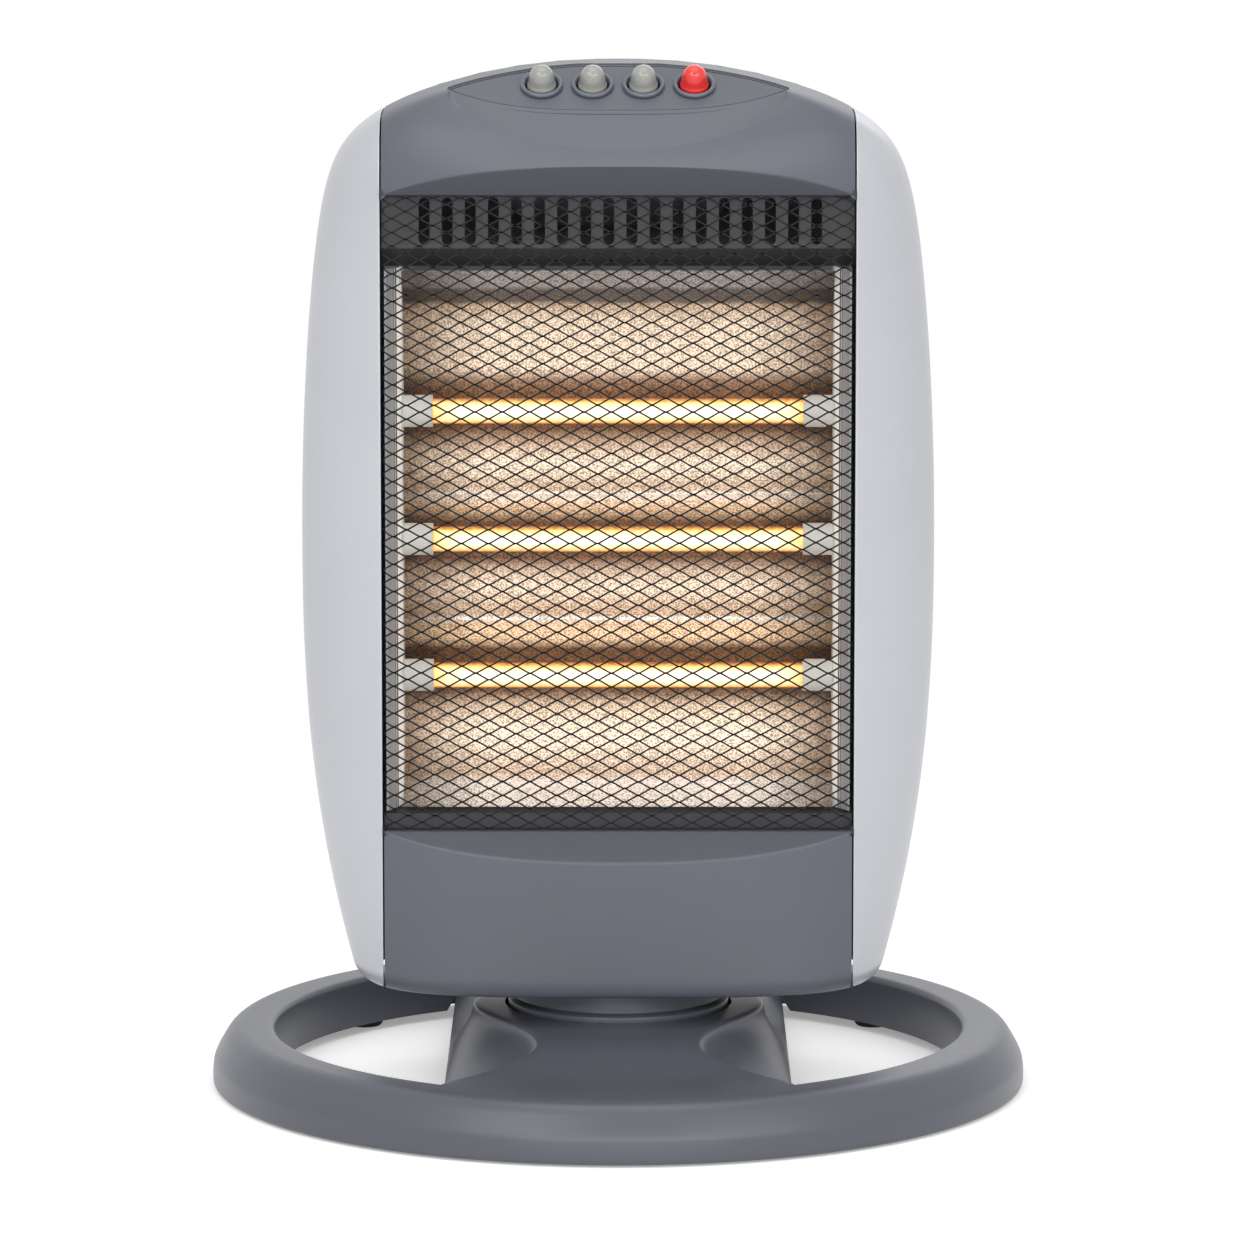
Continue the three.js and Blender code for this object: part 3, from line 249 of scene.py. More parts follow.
# The power p that takes |x/w|^p + |d/f|^p = 1 through the seam, tabled over the half width.
def powerTable():
    halves = np.linspace(112, 153, 200)
    low, high = np.full(200, 1.6), np.full(200, 60.0)
    for _ in range(50):
        power = (low + high) / 2
        reach = (head["seam"] / halves) ** power + (head["seamDepth"] / head["front"]) ** power
        low, high = np.where(reach > 1, power, low), np.where(reach > 1, high, power)
    return halves, (low + high) / 2


halvesTable, powersTable = powerTable()


# True outside the blank, which is |x/w|^p + |d/f|^p = 1 at each height. Depth counts forwards. The front and
# back draw in towards the top as quarter ellipses, and the crown narrows x as x = X / (1 + (X/c)^7)^(1/7).
def outside(x, depth, height):
    x, depth, height = np.broadcast_arrays(*(np.asarray(v, float) for v in (x, depth, height)))
    across = np.abs(x)
    top = head["top"]
    crown = np.sqrt(np.clip(head["crown"] ** 2 - (height - top + head["crown"]) ** 2, 1e-6, None))
    crown = np.where(height < top - head["crown"], 1e4, crown)
    used = np.clip(across / crown, 0, 1 - 1e-9)
    wide = across / (1 - used ** head["crownPower"]) ** (1 / head["crownPower"])
    half = sideHalf(height)
    power = np.interp(half, halvesTable, powersTable)
    frontRise = np.clip((height - head["frontStart"]) / (top - head["frontStart"]), 0, 1)
    backRise = np.clip((height - head["backStart"]) / (top - head["backStart"]), 0, 1)
    front = head["frontEnd"] + (head["front"] - head["frontEnd"]) * np.sqrt(1 - frontRise ** 2)
    back = head["backEnd"] + (head["back"] - head["backEnd"]) * np.sqrt(1 - backRise ** 2)
    low = np.clip(head["bottom"] + head["roll"] - height, 0, head["roll"]) / head["roll"]
    pull = head["roll"] * (1 - np.sqrt(1 - low ** 2))
    reach = np.where(depth > 0, front, back) - pull / 3
    power = np.where(depth > 0, power, head["backPower"])
    total = (wide / (half - pull)) ** power + (np.abs(depth) / reach) ** power
    return (total > 1) | (across >= crown) | (height > top) | (height < head["bottom"])


# Distance along a ray to the blank's surface, by halving.
def reachOf(x, depth, height, stepX, stepDepth, stepHeight, most=420):
    shape = np.broadcast(x, depth, height, stepX, stepDepth, stepHeight).shape
    low, high = np.zeros(shape), np.full(shape, float(most))
    for _ in range(36):
        middle = (low + high) / 2
        out = outside(x + middle * stepX, depth + middle * stepDepth, height + middle * stepHeight)
        low, high = np.where(out, low, middle), np.where(out, middle, high)
    return (low + high) / 2


# Where rays in the depth-height plane, from a point inside, leave the blank.
def aroundFrom(x, origin, angle):
    distance = reachOf(x, origin[0], origin[1], 0, np.cos(angle), np.sin(angle))
    return np.stack([origin[0] + distance * np.cos(angle), origin[1] + distance * np.sin(angle)], axis=-1)


# Rows of points between two angles, spread evenly along the surface at the middle of the grid.
def surfaceRun(x, origin, first, last, count):
    fine = np.linspace(0, 1, 400)
    middle = len(x) // 2
    line = aroundFrom(x[middle], origin, first[middle] + (last[middle] - first[middle]) * fine)
    run = np.concatenate([[0], np.cumsum(np.hypot(*np.diff(line, axis=0).T))])
    share = np.interp(np.linspace(0, run[-1], count), run, fine)[:, None]
    return aroundFrom(x[None, :], origin, first[None, :] + (last - first)[None, :] * share)


# Rows of points on straight lines from start to end.
def straightRun(start, end, count):
    share = np.linspace(0, 1, count)[:, None, None]
    return start[None] + (end - start)[None] * share


# A straight run pressed in along its normal by most * 4 s (1 - s), less where it is short.
def hollowRun(start, end, count, most):
    share = np.linspace(0, 1, count)[:, None, None]
    along = end - start
    length = np.maximum(np.linalg.norm(along, axis=-1, keepdims=True), 1e-9)
    inward = np.stack([-along[:, 1], along[:, 0]], axis=-1) / length
    sink = most * np.clip(length / 22, 0, 1) ** 1.5
    return start[None] + along[None] * share + (inward * sink)[None] * 4 * share * (1 - share)


# Joins runs of rows end to end, with a short quadratic arc in place of each shared corner.
def joinRuns(runs, fillets):
    rows = [runs[0][:-1]]
    share = np.linspace(0, 1, 5)[:, None, None]
    for run, nextRun, fillet in zip(runs[:-1], runs[1:], fillets):
        corner = run[-1]
        inward, outward = run[-2] - corner, nextRun[1] - corner
        inLength = np.linalg.norm(inward, axis=-1, keepdims=True)
        outLength = np.linalg.norm(outward, axis=-1, keepdims=True)
        back = inward * np.minimum(fillet / np.maximum(inLength, 1e-9), 0.6)
        on = outward * np.minimum(fillet / np.maximum(outLength, 1e-9), 0.6)
        rows.append(corner + back * (1 - share) ** 2 + on * share ** 2)
        rows.append(nextRun[1:-1] if nextRun is not runs[-1] else nextRun[1:])
    return np.concatenate(rows)


# Puts rows of (depth, height) in space over their x, with the front towards -Y.
def toSpace(x, rows):
    across = np.broadcast_to(x[None, :], rows.shape[:2])
    return np.stack([across, -rows[..., 0], rows[..., 1]], axis=-1)


# The angle of points in the depth-height plane, seen from an origin.
def angleFrom(origin, points):
    return np.arctan2(points[:, 1] - origin[1], points[:, 0] - origin[0])


# The rim of the window over each x: a ledge, its edge at the seam's depth, and a facet that runs from there at
# a slope until it leaves the blank.
def windowRim(x, height, slope):
    ledge = np.broadcast_to([head["ledge"], float(height)], (len(x), 2))
    edge = np.broadcast_to([float(head["seamDepth"]), float(height)], (len(x), 2))
    run = np.maximum(reachOf(x, edge[:, 0], edge[:, 1], 0, 1.0, slope, 60), 0.25)
    facet = np.stack([edge[:, 0] + run, edge[:, 1] + run * slope], axis=-1)
    return [straightRun(ledge, edge, 4), straightRun(edge, facet, 8)], facet


hoodValues = {"columns": 250, "wall": 2.4, "facet": 0.77, "tilt": 33, "deckDepth": 47, "deckHeight": 470,
              "tip": 78.8, "grooveBow": 13.2, "grooveRamp": 1.5, "creaseHeight": 452.4, "creaseRise": 26.2,
              "recess": 2.2, "scoop": 0.6, "origin": (10, 435), "middle": (0, 0, 430)}
deckTurn = math.radians(hoodValues["tilt"])
deckSlope = math.tan(deckTurn)
deckNormal = np.array([math.sin(deckTurn), math.cos(deckTurn)])


# The deck's front edge: depth = 47 - bow (x / tip)^3.2, on the tilted plane.
def grooveLine(x):
    share = np.clip(np.abs(x) / hoodValues["tip"], 0, 1)
    depth = hoodValues["deckDepth"] - hoodValues["grooveBow"] * share ** 3.2
    return np.stack([depth, hoodValues["deckHeight"] + (hoodValues["deckDepth"] - depth) * deckSlope], axis=-1)


# The deck's back edge, where its plane runs out of the crown.
def deckBack(x, start):
    length = reachOf(x, start[:, 0], start[:, 1], 0, -1.0, deckSlope, 60)
    return np.stack([start[:, 0] - length, start[:, 1] + length * deckSlope], axis=-1)


# Over each x, the hood's rows follow in the depth-height plane: the window's rim, the blank up to the chin's
# crease, the hollow chin, the sunk deck, and the blank back to the split. The crease rises towards the tips as
# h0 + r (1 - sqrt(1 - (x/t)^2))^0.9, and beyond the tips its rows lie close together on the blank.
def makeHood(values):
    half = head["seam"] - head["gap"] / 2
    tip, origin = values["tip"], values["origin"]
    x = -half + 2 * half * edged(values["columns"], 2 * half)
    near = np.array([-1.6, -0.9, -0.4, -0.12, 0.12, 0.5, 1.1, 1.9])
    x = np.unique(np.concatenate([x[np.abs(np.abs(x) - tip) > 0.1], tip + near, -tip + near]))
    rim, facet = windowRim(x, head["windowTop"], values["facet"])
    inside = np.abs(x) < tip
    share = np.clip(np.abs(x) / tip, 0, 1)
    creaseHeight = values["creaseHeight"] + values["creaseRise"] * (1 - np.sqrt(1 - share ** 2)) ** 0.9
    crease = np.stack([reachOf(x, 0, creaseHeight, 0, 1.0, 0, 80), creaseHeight], axis=-1)
    groove = grooveLine(x)
    back = deckBack(x, groove)
    ramp = np.clip((tip - np.abs(x)) / values["grooveRamp"], 0.02, 1)
    sink = (values["recess"] * ramp)[:, None] * deckNormal
    tipAngle = angleFrom(origin, grooveLine(np.array([tip])))[0]
    spread = np.radians(0.25 + np.clip((np.abs(x) - tip) * 0.12, 0, 2.5))
    beyond = [aroundFrom(x, origin, tipAngle + spread * step) for step in (-2, -1, 0, 1, 2)]
    crease, groove, grooveFloor, backFloor, back = (
        np.where(inside[:, None], made, plain) for made, plain in
        zip((crease, groove, groove - sink, back - sink, back), beyond))
    split = head["split"] + head["gap"] / 2
    top = reachOf(x, split, 300, 0, 0, 1.0, 200) + 300
    splitEdge = np.stack([np.full(len(x), split), top], axis=-1)
    runs = [*rim, surfaceRun(x, origin, angleFrom(origin, facet), angleFrom(origin, crease), 34),
            hollowRun(crease, groove, 18, values["scoop"]), straightRun(groove, grooveFloor, 3),
            straightRun(grooveFloor, backFloor, 6), straightRun(backFloor, back, 3),
            surfaceRun(x, origin, angleFrom(origin, back), angleFrom(origin, splitEdge), 44)]
    grid = toSpace(x, joinRuns(runs, [0.5, 1.6, 1.0, 0.35, 0.2, 0.2, 0.35]))
    grid = rollRim(grid, head["rim"], values["middle"], firstRow=False)
    piece = makeShell("hood_shell", grid, values["wall"], values["middle"])
    keepInside(piece, 0, -half, half)
    return piece


lowerValues = {"columns": 200, "wall": 2.4, "fall": 0.585, "origin": (10, 100), "middle": (0, 0, 90)}


# The window's rim and then the blank, down round the bottom to the split.
def makeLowerPanel(values):
    half = head["seam"] - head["gap"] / 2
    origin = values["origin"]
    x = -half + 2 * half * edged(values["columns"], 2 * half)
    rim, facet = windowRim(x, head["windowBottom"], -values["fall"])
    last = math.atan2(head["bottom"] - origin[1], head["split"] + head["gap"] / 2 - origin[0])
    runs = [*rim, surfaceRun(x, origin, angleFrom(origin, facet), np.full(len(x), last), 110)]
    grid = toSpace(x, joinRuns(runs, [0.5, 1.2]))
    grid = rollRim(grid, head["rim"], values["middle"], firstRow=False)
    piece = makeShell("lower_panel_shell", grid, values["wall"], values["middle"])
    keepInside(piece, 0, -half, half)
    return piece


sideValues = {"rows": 260, "height": 415, "columns": 80, "depth": 74, "wall": 2.4, "lift": 0.3,
              "lowest": 56, "clear": 0.9, "origin": (10, 435), "corner": 42, "middle": 60, "outermost": 200}


# A patch over the depth-height plane between the split, the bottom and the seam's own curve, spanned from its
# four edges as (1-s) low + s top + (1-t) back + t front, less the corners' share; x is the blank's.
def makeSidePanel(values, side):
    seam = head["seam"] + head["gap"] / 2
    back = head["split"] + head["gap"] / 2
    down = edged(values["rows"], values["height"])
    along = edged(values["columns"], values["depth"])
    corner = aroundFrom(np.full(1, seam), values["origin"], np.radians([float(values["corner"])]))[0]
    low = head["bottom"] + values["lift"]
    heights = low + (corner[1] - low) * down
    frontDepth = reachOf(seam, 0, np.maximum(heights, values["lowest"]), 0, 1.0, 0, 90)
    frontEdge = np.stack([frontDepth, heights], axis=-1)
    topDepths = back + (corner[0] - back) * along
    topHeights = 300 + reachOf(seam, topDepths, 300, 0, 0, 1.0, 200)
    topEdge = np.stack([topDepths, topHeights], axis=-1)
    lowEdge = np.stack([back + (frontEdge[0, 0] - back) * along, np.full(len(along), heights[0])], axis=-1)
    backEdge = np.stack([np.full(len(down), back), heights[0] + (topHeights[0] - heights[0]) * down], axis=-1)
    s, t = down[:, None, None], along[None, :, None]
    patch = ((1 - s) * lowEdge[None] + s * topEdge[None]
             + (1 - t) * backEdge[:, None] + t * frontEdge[:, None] - (1 - s) * (1 - t) * lowEdge[0]
             - (1 - s) * t * lowEdge[-1] - s * (1 - t) * topEdge[0] - s * t * topEdge[-1])
    inner = float(values["middle"])
    across = np.maximum(inner + reachOf(inner, patch[..., 0], patch[..., 1], 1.0, 0, 0, 140), seam)
    middle = (side * inner, 0, 260)
    grid = rollRim(np.stack([side * across, -patch[..., 0], patch[..., 1]], axis=-1), head["rim"], middle,
                   firstRow=False)
    piece = makeShell("side_shell_left" if side < 0 else "side_shell_right", grid, values["wall"], middle)
    keepInside(piece, 2, head["bottom"] + values["clear"], head["top"])
    keepInside(piece, 0, *sorted((side * seam, side * values["outermost"])))
    return piece


hoodShell = makeHood(hoodValues)
lowerShell = makeLowerPanel(lowerValues)
sideShells = [makeSidePanel(sideValues, side) for side in (-1, 1)]
print("housing made")

# The deck's lens panel, bezels and buttons are drawn flat and tilted into place.
deckValues = {"pitch": 23.8, "depth": 31.5, "short": 0.9, "margin": 0.45, "thickness": 1.8, "columns": 170,
              "rim": 0.6, "hole": 8.9, "below": -8, "above": 4, "sharp": 50}
deckDepth = deckValues["depth"]
deckHeight = hoodValues["deckHeight"] + (hoodValues["deckDepth"] - deckDepth) * deckSlope
buttonPlaces = [(k - 1.5) * deckValues["pitch"] for k in range(4)]


# Tilts points drawn on a level deck, y' = y cos t - z sin t and z' = y sin t + z cos t, and moves them to the
# head.
def onDeck(points, x):
    y = points[..., 1] * math.cos(deckTurn) - points[..., 2] * math.sin(deckTurn) - deckDepth
    z = points[..., 1] * math.sin(deckTurn) + points[..., 2] * math.cos(deckTurn) + deckHeight
    return np.stack([points[..., 0] + x, y, z], axis=-1)


def turnedOnDeck(name, profile, sides, x):
    piece = meshPiece(name, onDeck(turned(profile, sides), x), gridFaces(len(profile), sides, True))
    faceOut(piece)
    return piece


# Fills the deck from its front edge to its back one, with its columns closer together towards the tips.
def makeLens(values):
    tip = hoodValues["tip"] - values["short"]
    x = tip * np.sin(np.linspace(-np.pi / 2, np.pi / 2, values["columns"]))
    front = grooveLine(x)
    back = deckBack(x, front)
    direction = np.array([-1.0, deckSlope]) * math.cos(deckTurn)
    width = np.linalg.norm(back - front, axis=-1)[:, None]
    margin = np.minimum(values["margin"], 0.4 * width)
    start, end = front + direction * margin, back - direction * margin
    share = edged(26, 36, 0.7)[:, None, None]
    grid = toSpace(x, start[None] + (end - start)[None] * share)
    grid = rollRim(grid, values["rim"], hoodValues["middle"], columns=False)
    return makeShell("lens_panel", grid, values["thickness"], hoodValues["middle"])


# Four drums through the deck, for the holes of the bezels.
def deckHoles(values):
    low, high, radius = values["below"], values["above"], values["hole"]
    drum = [[0, low], [radius, low], [radius, high], [0, high]]
    return joined([turnedOnDeck("hole", drum, 64, x) for x in buttonPlaces])


lensPanel = makeLens(deckValues)
for piece in (lensPanel, hoodShell):
    cut(piece, deckHoles(deckValues))
    sharpen(piece, deckValues["sharp"])

# Ring with a rolled top edge; the bore leaves a dark line round the button.
bezelProfile = rounded([[7.25, -5.0], [8.55, -5.0], [8.55, 0.25], [10.0, 0.25], [10.0, 1.4], [9.35, 2.3],
                        [8.2, 2.0], [7.45, 0.4], [7.25, -5.0]], 0.8, 6)
# A gumdrop on a low flange.
buttonProfile = rounded([[0, -5.0], [3.0, -5.0], [3.0, -1.4], [6.6, -1.4], [6.85, -1.1], [6.85, 0.9],
                         [6.78, 1.5], [6.5, 2.0], [6.25, 2.6], [6.12, 3.4], [6.02, 4.4], [5.9, 5.5],
                         [5.66, 6.6], [5.28, 7.7], [4.7, 8.75], [3.9, 9.7], [2.8, 10.45], [1.45, 10.88],
                         [0.02, 11.0]], 0.5, 3)
bezels, buttons = [], []
for place, x in enumerate(buttonPlaces, 1):
    ring = turnedOnDeck(f"bezel_ring_{place}", bezelProfile, 72, x)
    dome = turnedOnDeck(f"button_dome_{place}", buttonProfile, 64, x)
    sharpen(dome, 60)
    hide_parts(f"bezel_{place}")
    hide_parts(f"button_{place}")
    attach(ring, "head")
    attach(dome, f"button_{place}")
    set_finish(ring, "bezel")
    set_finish(dome, "red" if place == 4 else "button")
    bezels.append(ring)
    buttons.append(dome)
print("deck made")


baseValues = {"radius": 195, "inner": 165, "top": 28.5, "brow": 185.5, "cheek": [194.2, 14.0], "edge": 3.2,
              "wallFoot": 4.2, "wallMiddle": 18.0, "rim": 70, "hub": 38, "slope": 150, "foot": 82, "waist": 38,
              "waistReach": 90, "root": 80, "low": 11, "bottom": 1.2, "footWidth": 2.6, "wall": 2.6,
              "recess": 54.5, "openSteps": 70, "sharp": 50}
postValues = {"circle": 180, "radius": 8, "bottom": 3.3, "top": 19}


# Height of the revolved top: flat ring, a cosine rise to the hub, flat hub.
def baseTop(radius, values):
    share = np.clip((values["slope"] - radius) / (values["slope"] - values["rim"]), 0, 1)
    return values["top"] + (values["hub"] - values["top"]) * (1 - np.cos(share * np.pi)) / 2


# Half the width of hub and arms at the top: a cosine bell round the hub and a sine flare to the ring.
def armTop(reach, values):
    reach, turn, waist = np.abs(reach), values["waistReach"], values["waist"]
    flare = np.clip((reach - turn) / (values["inner"] - values["root"] / 4 - turn), 0, 1)
    bell = waist + (values["rim"] - waist) * np.cos(np.clip(reach / turn, 0, 1) * np.pi / 2) ** 2
    return np.where(reach < turn, bell, waist + (values["root"] - waist) * np.sin(flare * np.pi / 2) ** 2)


# Moves each inner point of a grid half way to the mean of its four neighbours.
def eased(grid, times):
    for _ in range(times):
        mean = (grid[:-2, 1:-1] + grid[2:, 1:-1] + grid[1:-1, :-2] + grid[1:-1, 2:]) / 4
        grid[1:-1, 1:-1] = 0.5 * grid[1:-1, 1:-1] + 0.5 * mean
    return grid


# Hub and arms as one band from the ring's back to its front. Across it each half is flat and then falls from
# the arm's top edge to its foot as w0 - (w0 - w) sin^1.4, and its ends lie on the ring's inner circle.
def makeBand(values):
    inner = values["inner"]
    flat = np.linspace(0, 1, 30)
    fall = np.linspace(0, 1, 34)[1:]
    share = np.concatenate([np.ones(len(flat)), 1 - fall])
    along = np.sin(np.linspace(-np.pi / 2, np.pi / 2, 151))
    y = along[:, None] * np.full(len(share), inner)[None]
    for _ in range(40):
        top = armTop(y, values)
        x = np.where(np.arange(len(share)) < len(flat), top * np.pad(flat, (0, len(fall))),
                     values["foot"] - (values["foot"] - top) * np.sin(share * np.pi / 2) ** 1.4)
        y = along[:, None] * np.sqrt(inner ** 2 - x ** 2)
    height = values["low"] + (baseTop(np.hypot(x, y), values) - values["low"]) * share
    half = np.stack([x, y, height], axis=-1)
    return eased(np.concatenate([(half * [-1, 1, 1])[:, :0:-1], half], axis=1), 6)


# The ring's rows run from its inner circle over the top to the outer foot, each once round. Along the arms'
# ends the first rows climb from the band, and between them they are the inner wall with its rounded edge.
def makeRingRows(band, values):
    inner, edge, top = values["inner"], values["edge"], values["top"]
    frontAngles = np.arctan2(band[-1, :, 1], band[-1, :, 0])
    backAngles = np.arctan2(band[0, :, 1], band[0, :, 0])
    steps = values["openSteps"]
    right = np.linspace(backAngles[-1], frontAngles[-1], steps + 2)[1:-1]
    left = np.linspace(frontAngles[0], backAngles[0] + 2 * np.pi, steps + 2)[1:-1]
    angles = np.concatenate([frontAngles[::-1], left, backAngles + 2 * np.pi, right + 2 * np.pi])
    edgeHeights = np.concatenate([band[-1, ::-1, 2], np.zeros(steps), band[0, :, 2], np.zeros(steps)])
    isOpen = np.tile(np.repeat([False, True], [band.shape[1], steps]), 2)
    wallRows = [(0.0, values["wallFoot"]), (0.0, values["wallMiddle"]), (0.0, top - edge)]
    wallRows += [(edge * (1 - math.cos(a)), top - edge * (1 - math.sin(a)))
                 for a in np.linspace(0, np.pi / 2, 6)[1:]]
    rings = []
    for place, (out, height) in enumerate(wallRows):
        share = place / (len(wallRows) - 1)
        rings.append((inner + np.where(isOpen, out, share * edge),
                      np.where(isOpen, height, edgeHeights + (top - edgeHeights) * share)))
    cheek, radius, bottom = values["cheek"], values["radius"], values["bottom"]
    rings += list(rounded([[inner + edge + 3, top], [values["brow"], top], cheek, [radius, cheek[1] - 6],
                           [radius, bottom], [radius - values["footWidth"], bottom]], 6.5, 8))
    return np.stack([np.stack([radius * np.cos(angles), radius * np.sin(angles), height + 0 * angles], axis=-1)
                     for radius, height in rings])


def makeBase(values):
    band = makeBand(values)
    ring = makeRingRows(band, values)
    faces = [gridFaces(*band.shape[:2]), gridFaces(*ring.shape[:2], True) + band.shape[0] * band.shape[1]]
    points = np.concatenate([band.reshape(-1, 3), ring.reshape(-1, 3)])
    piece = meshPiece("base_moulding", points, np.concatenate(faces))
    shape = bmesh.new()
    shape.from_mesh(piece.data)
    bmesh.ops.remove_doubles(shape, verts=shape.verts, dist=0.00002)
    bmesh.ops.recalc_face_normals(shape, faces=shape.faces)
    if sum(face.normal.z * face.calc_area() for face in shape.faces) < 0:
        bmesh.ops.reverse_faces(shape, faces=shape.faces)
    shape.to_mesh(piece.data)
    shape.free()
    thicken(piece, values["wall"])
    cut(piece, lathe("recess", [[0, 31], [values["recess"], 31], [values["recess"], 45], [0, 45]], 128))
    cup = lathe("cup", rounded([[6.3, 27.1], [57, 27.1], [57, 37.2], [54.5, 37.9], [54.5, 32.7], [47.5, 32.7],
                                [47.5, 30], [6.3, 30], [6.3, 27.1]], 0.4, 4), 128)
    piece = joined([piece, cup, *(makePost(postValues, math.radians(45 + 90 * k)) for k in range(4))])
    sharpen(piece, values["sharp"])
    return piece


# The post under the ring that holds a rubber foot.
def makePost(values, angle):
    low, high, radius = values["bottom"], values["top"], values["radius"]
    post = lathe("post", [[0.01, low], [radius, low], [radius, high], [0.01, high]], 32)
    place = values["circle"] * np.array([math.cos(angle), math.sin(angle), 0])
    writePoints(post, readPoints(post) + place * mm)
    return post


baseMoulding = makeBase(baseValues)
turntable = lathe("turntable_moulding", rounded(
    [[46.9, 33], [53, 33], [53, 40.2], [51.6, 41.2], [49.5, 41.6], [49.5, 51.7], [10, 51.7], [10, 48.1],
     [46.9, 48.1], [46.9, 33]], 0.7, 5), 160)
sharpen(turntable, baseValues["sharp"])
print("base made")


# The guard is an expanded mesh whose edges turn back like a tray's.
guardValues = {"half": 110.4, "bottom": 129.6, "top": 429.6, "depth": 47.0, "bend": 3.4, "width": 12.8,
               "height": 6.5, "strand": 0.74, "thickness": 0.5, "turned": 3.0, "samples": 249, "pinch": 0.97,
               "deepest": 6.0}


# Bends a flat coordinate round an edge: straight, then an arc of the bend's radius, then back.
def bent(place, limit, radius):
    over = np.clip(np.abs(place) - (limit - radius), 0, None)
    quarter = np.pi / 2 * radius
    angle = np.clip(over / radius, 0, np.pi / 2)
    position = np.where(over > 0, limit - radius + radius * np.sin(angle), np.abs(place))
    drop = radius * (1 - np.cos(angle)) + np.clip(over - quarter, 0, None)
    return np.sign(place) * position, drop


# Each strand is a zigzag z = a asin(c sin(2 pi x / w)) / asin(c), and neighbours mirror each other. Slow waves
# and a random phase for each strand keep it from being too even.
def makeGuard(values):
    halfHeight = (values["top"] - values["bottom"]) / 2
    middle = (values["top"] + values["bottom"]) / 2
    reach, pinch = values["half"] + values["turned"], values["pinch"]
    count = int(round(2 * (halfHeight + values["turned"]) / (values["height"] / 2)))
    rows = ((np.arange(count) - (count - 1) / 2) * values["height"] / 2)[:, None]
    u = np.linspace(-reach, reach, values["samples"])[None]
    rng = np.random.default_rng(7)
    wave = np.arcsin(pinch * np.sin(2 * np.pi * u / values["width"])) / math.asin(pinch)
    sign = np.where(np.arange(count) % 2 == 0, 1, -1)[:, None]
    sway = (0.10 * np.sin(u / 31 + rng.uniform(0, 6, (count, 1))) + 0.16 * np.sin(u / 67 + rows / 45)
            + 0.12 * np.sin(rows / 23 + u / 90))
    v = rows + sign * wave * values["height"] / 4 + sway
    u = u + 0.14 * np.sin(v / 19 + u / 41)
    along = np.stack([np.gradient(u, axis=1), np.gradient(v, axis=1)], axis=-1)
    along /= np.linalg.norm(along, axis=-1, keepdims=True)
    half = values["strand"] / 2
    rings = []
    for side, lift in ((1, 0), (1, -1), (-1, -1), (-1, 0)):
        x, dropX = bent(u - along[..., 1] * side * half, values["half"], values["bend"])
        z, dropZ = bent(v + along[..., 0] * side * half, halfHeight, values["bend"])
        depth = values["depth"] - np.minimum(dropX + dropZ, values["deepest"]) + lift * values["thickness"]
        rings.append(np.stack([x, -depth, z + middle], axis=-1))
    grid = np.stack(rings, axis=2)
    first = (np.arange(count) * values["samples"] * 4)[:, None, None]
    faces = gridFaces(values["samples"], 4, True)[None] + first
    ends = np.stack([np.arange(4)[::-1], np.arange(4) + values["samples"] * 4 - 4])[None] + first
    piece = meshPiece("guard_mesh", grid, np.concatenate([faces.reshape(-1, 4), ends.reshape(-1, 4)]))
    faceOut(piece)
    return piece


guard = makeGuard(guardValues)
print("guard made")


ventValues = {"half": 110.7, "face": 40.0, "fold": 404.8, "top": 429.9, "sheet": 1.6, "slots": 18,
              "pitch": 10.8, "slotWidth": 5.0, "slotHeight": 22.0, "slotBottom": 406.6,
              "slotShift": 1.1, "rim": 0.6}


# A flat outline drawn out along one axis.
def prism(name, outline, axis, start, end):
    outline = np.asarray(outline, float)
    points = np.concatenate([np.insert(outline, axis, level, axis=1) for level in (start, end)])
    count = len(outline)
    mesh = bpy.data.meshes.new(name)
    sides = [[k, (k + 1) % count, count + (k + 1) % count, count + k] for k in range(count)]
    ends = [list(range(count))[::-1], list(range(count, 2 * count))]
    mesh.from_pydata((points * mm).tolist(), [], sides + ends)
    piece = bpy.data.objects.new(name, mesh)
    scene.collection.objects.link(piece)
    faceOut(piece)
    return piece


# An upright slot: two half circles of half its width, joined by straight sides.
def upright(x, bottom, top, width):
    angles = np.linspace(0, np.pi, 17)
    radius = width / 2
    upper = np.stack([x + radius * np.cos(angles), top - radius + radius * np.sin(angles)], axis=-1)
    lower = np.stack([x - radius * np.cos(angles), bottom + radius - radius * np.sin(angles)], axis=-1)
    return np.concatenate([upper, lower])


# Weights the slots' front edges, so that only they are bevelled and take the pale rim finish, a painted
# highlight.
def markRims(piece, face, low):
    shape = bmesh.new()
    shape.from_mesh(piece.data)
    weight = shape.edges.layers.float.new("bevel_weight_edge")
    for edge in shape.edges:
        flat = all(abs(vert.co.y - face) < 0.0001 and vert.co.z > low - 0.001 and abs(vert.co.x) < 0.1
                   for vert in edge.verts)
        if flat and len(edge.link_faces) == 2 and edge.calc_face_angle() > 0.5:
            edge[weight] = 1
    shape.to_mesh(piece.data)
    shape.free()


# A folded plate with a row of slots, whose front edges are bevelled and carry a pale painted highlight.
def makeVent(values):
    face = -values["face"]
    back = face + values["sheet"]
    outline = [[face, values["fold"]], [-26, 395.3], [-26, 396.8], [back, values["fold"] + 1.0],
               [back, values["top"]], [face, values["top"]]]
    panel = prism("vent_plate", outline, 0, -values["half"], values["half"])
    low, high = values["slotBottom"], values["slotBottom"] + values["slotHeight"]
    places = (np.arange(values["slots"]) - (values["slots"] - 1) / 2) * values["pitch"] + values["slotShift"]
    slots = [prism("slot", upright(x, low, high, values["slotWidth"]), 1, face - 2, face + 5) for x in places]
    cut(panel, joined(slots))
    markRims(panel, face * mm, low * mm)
    change = panel.modifiers.new("rims", "BEVEL")
    change.width = values["rim"] * mm
    change.segments = 2
    change.limit_method = "WEIGHT"
    # The bevels take the second finish, the pale painted highlight.
    change.material = 1
    settle(panel)
    sharpen(panel, 25)
    return panel


ventPlate = makeVent(ventValues)

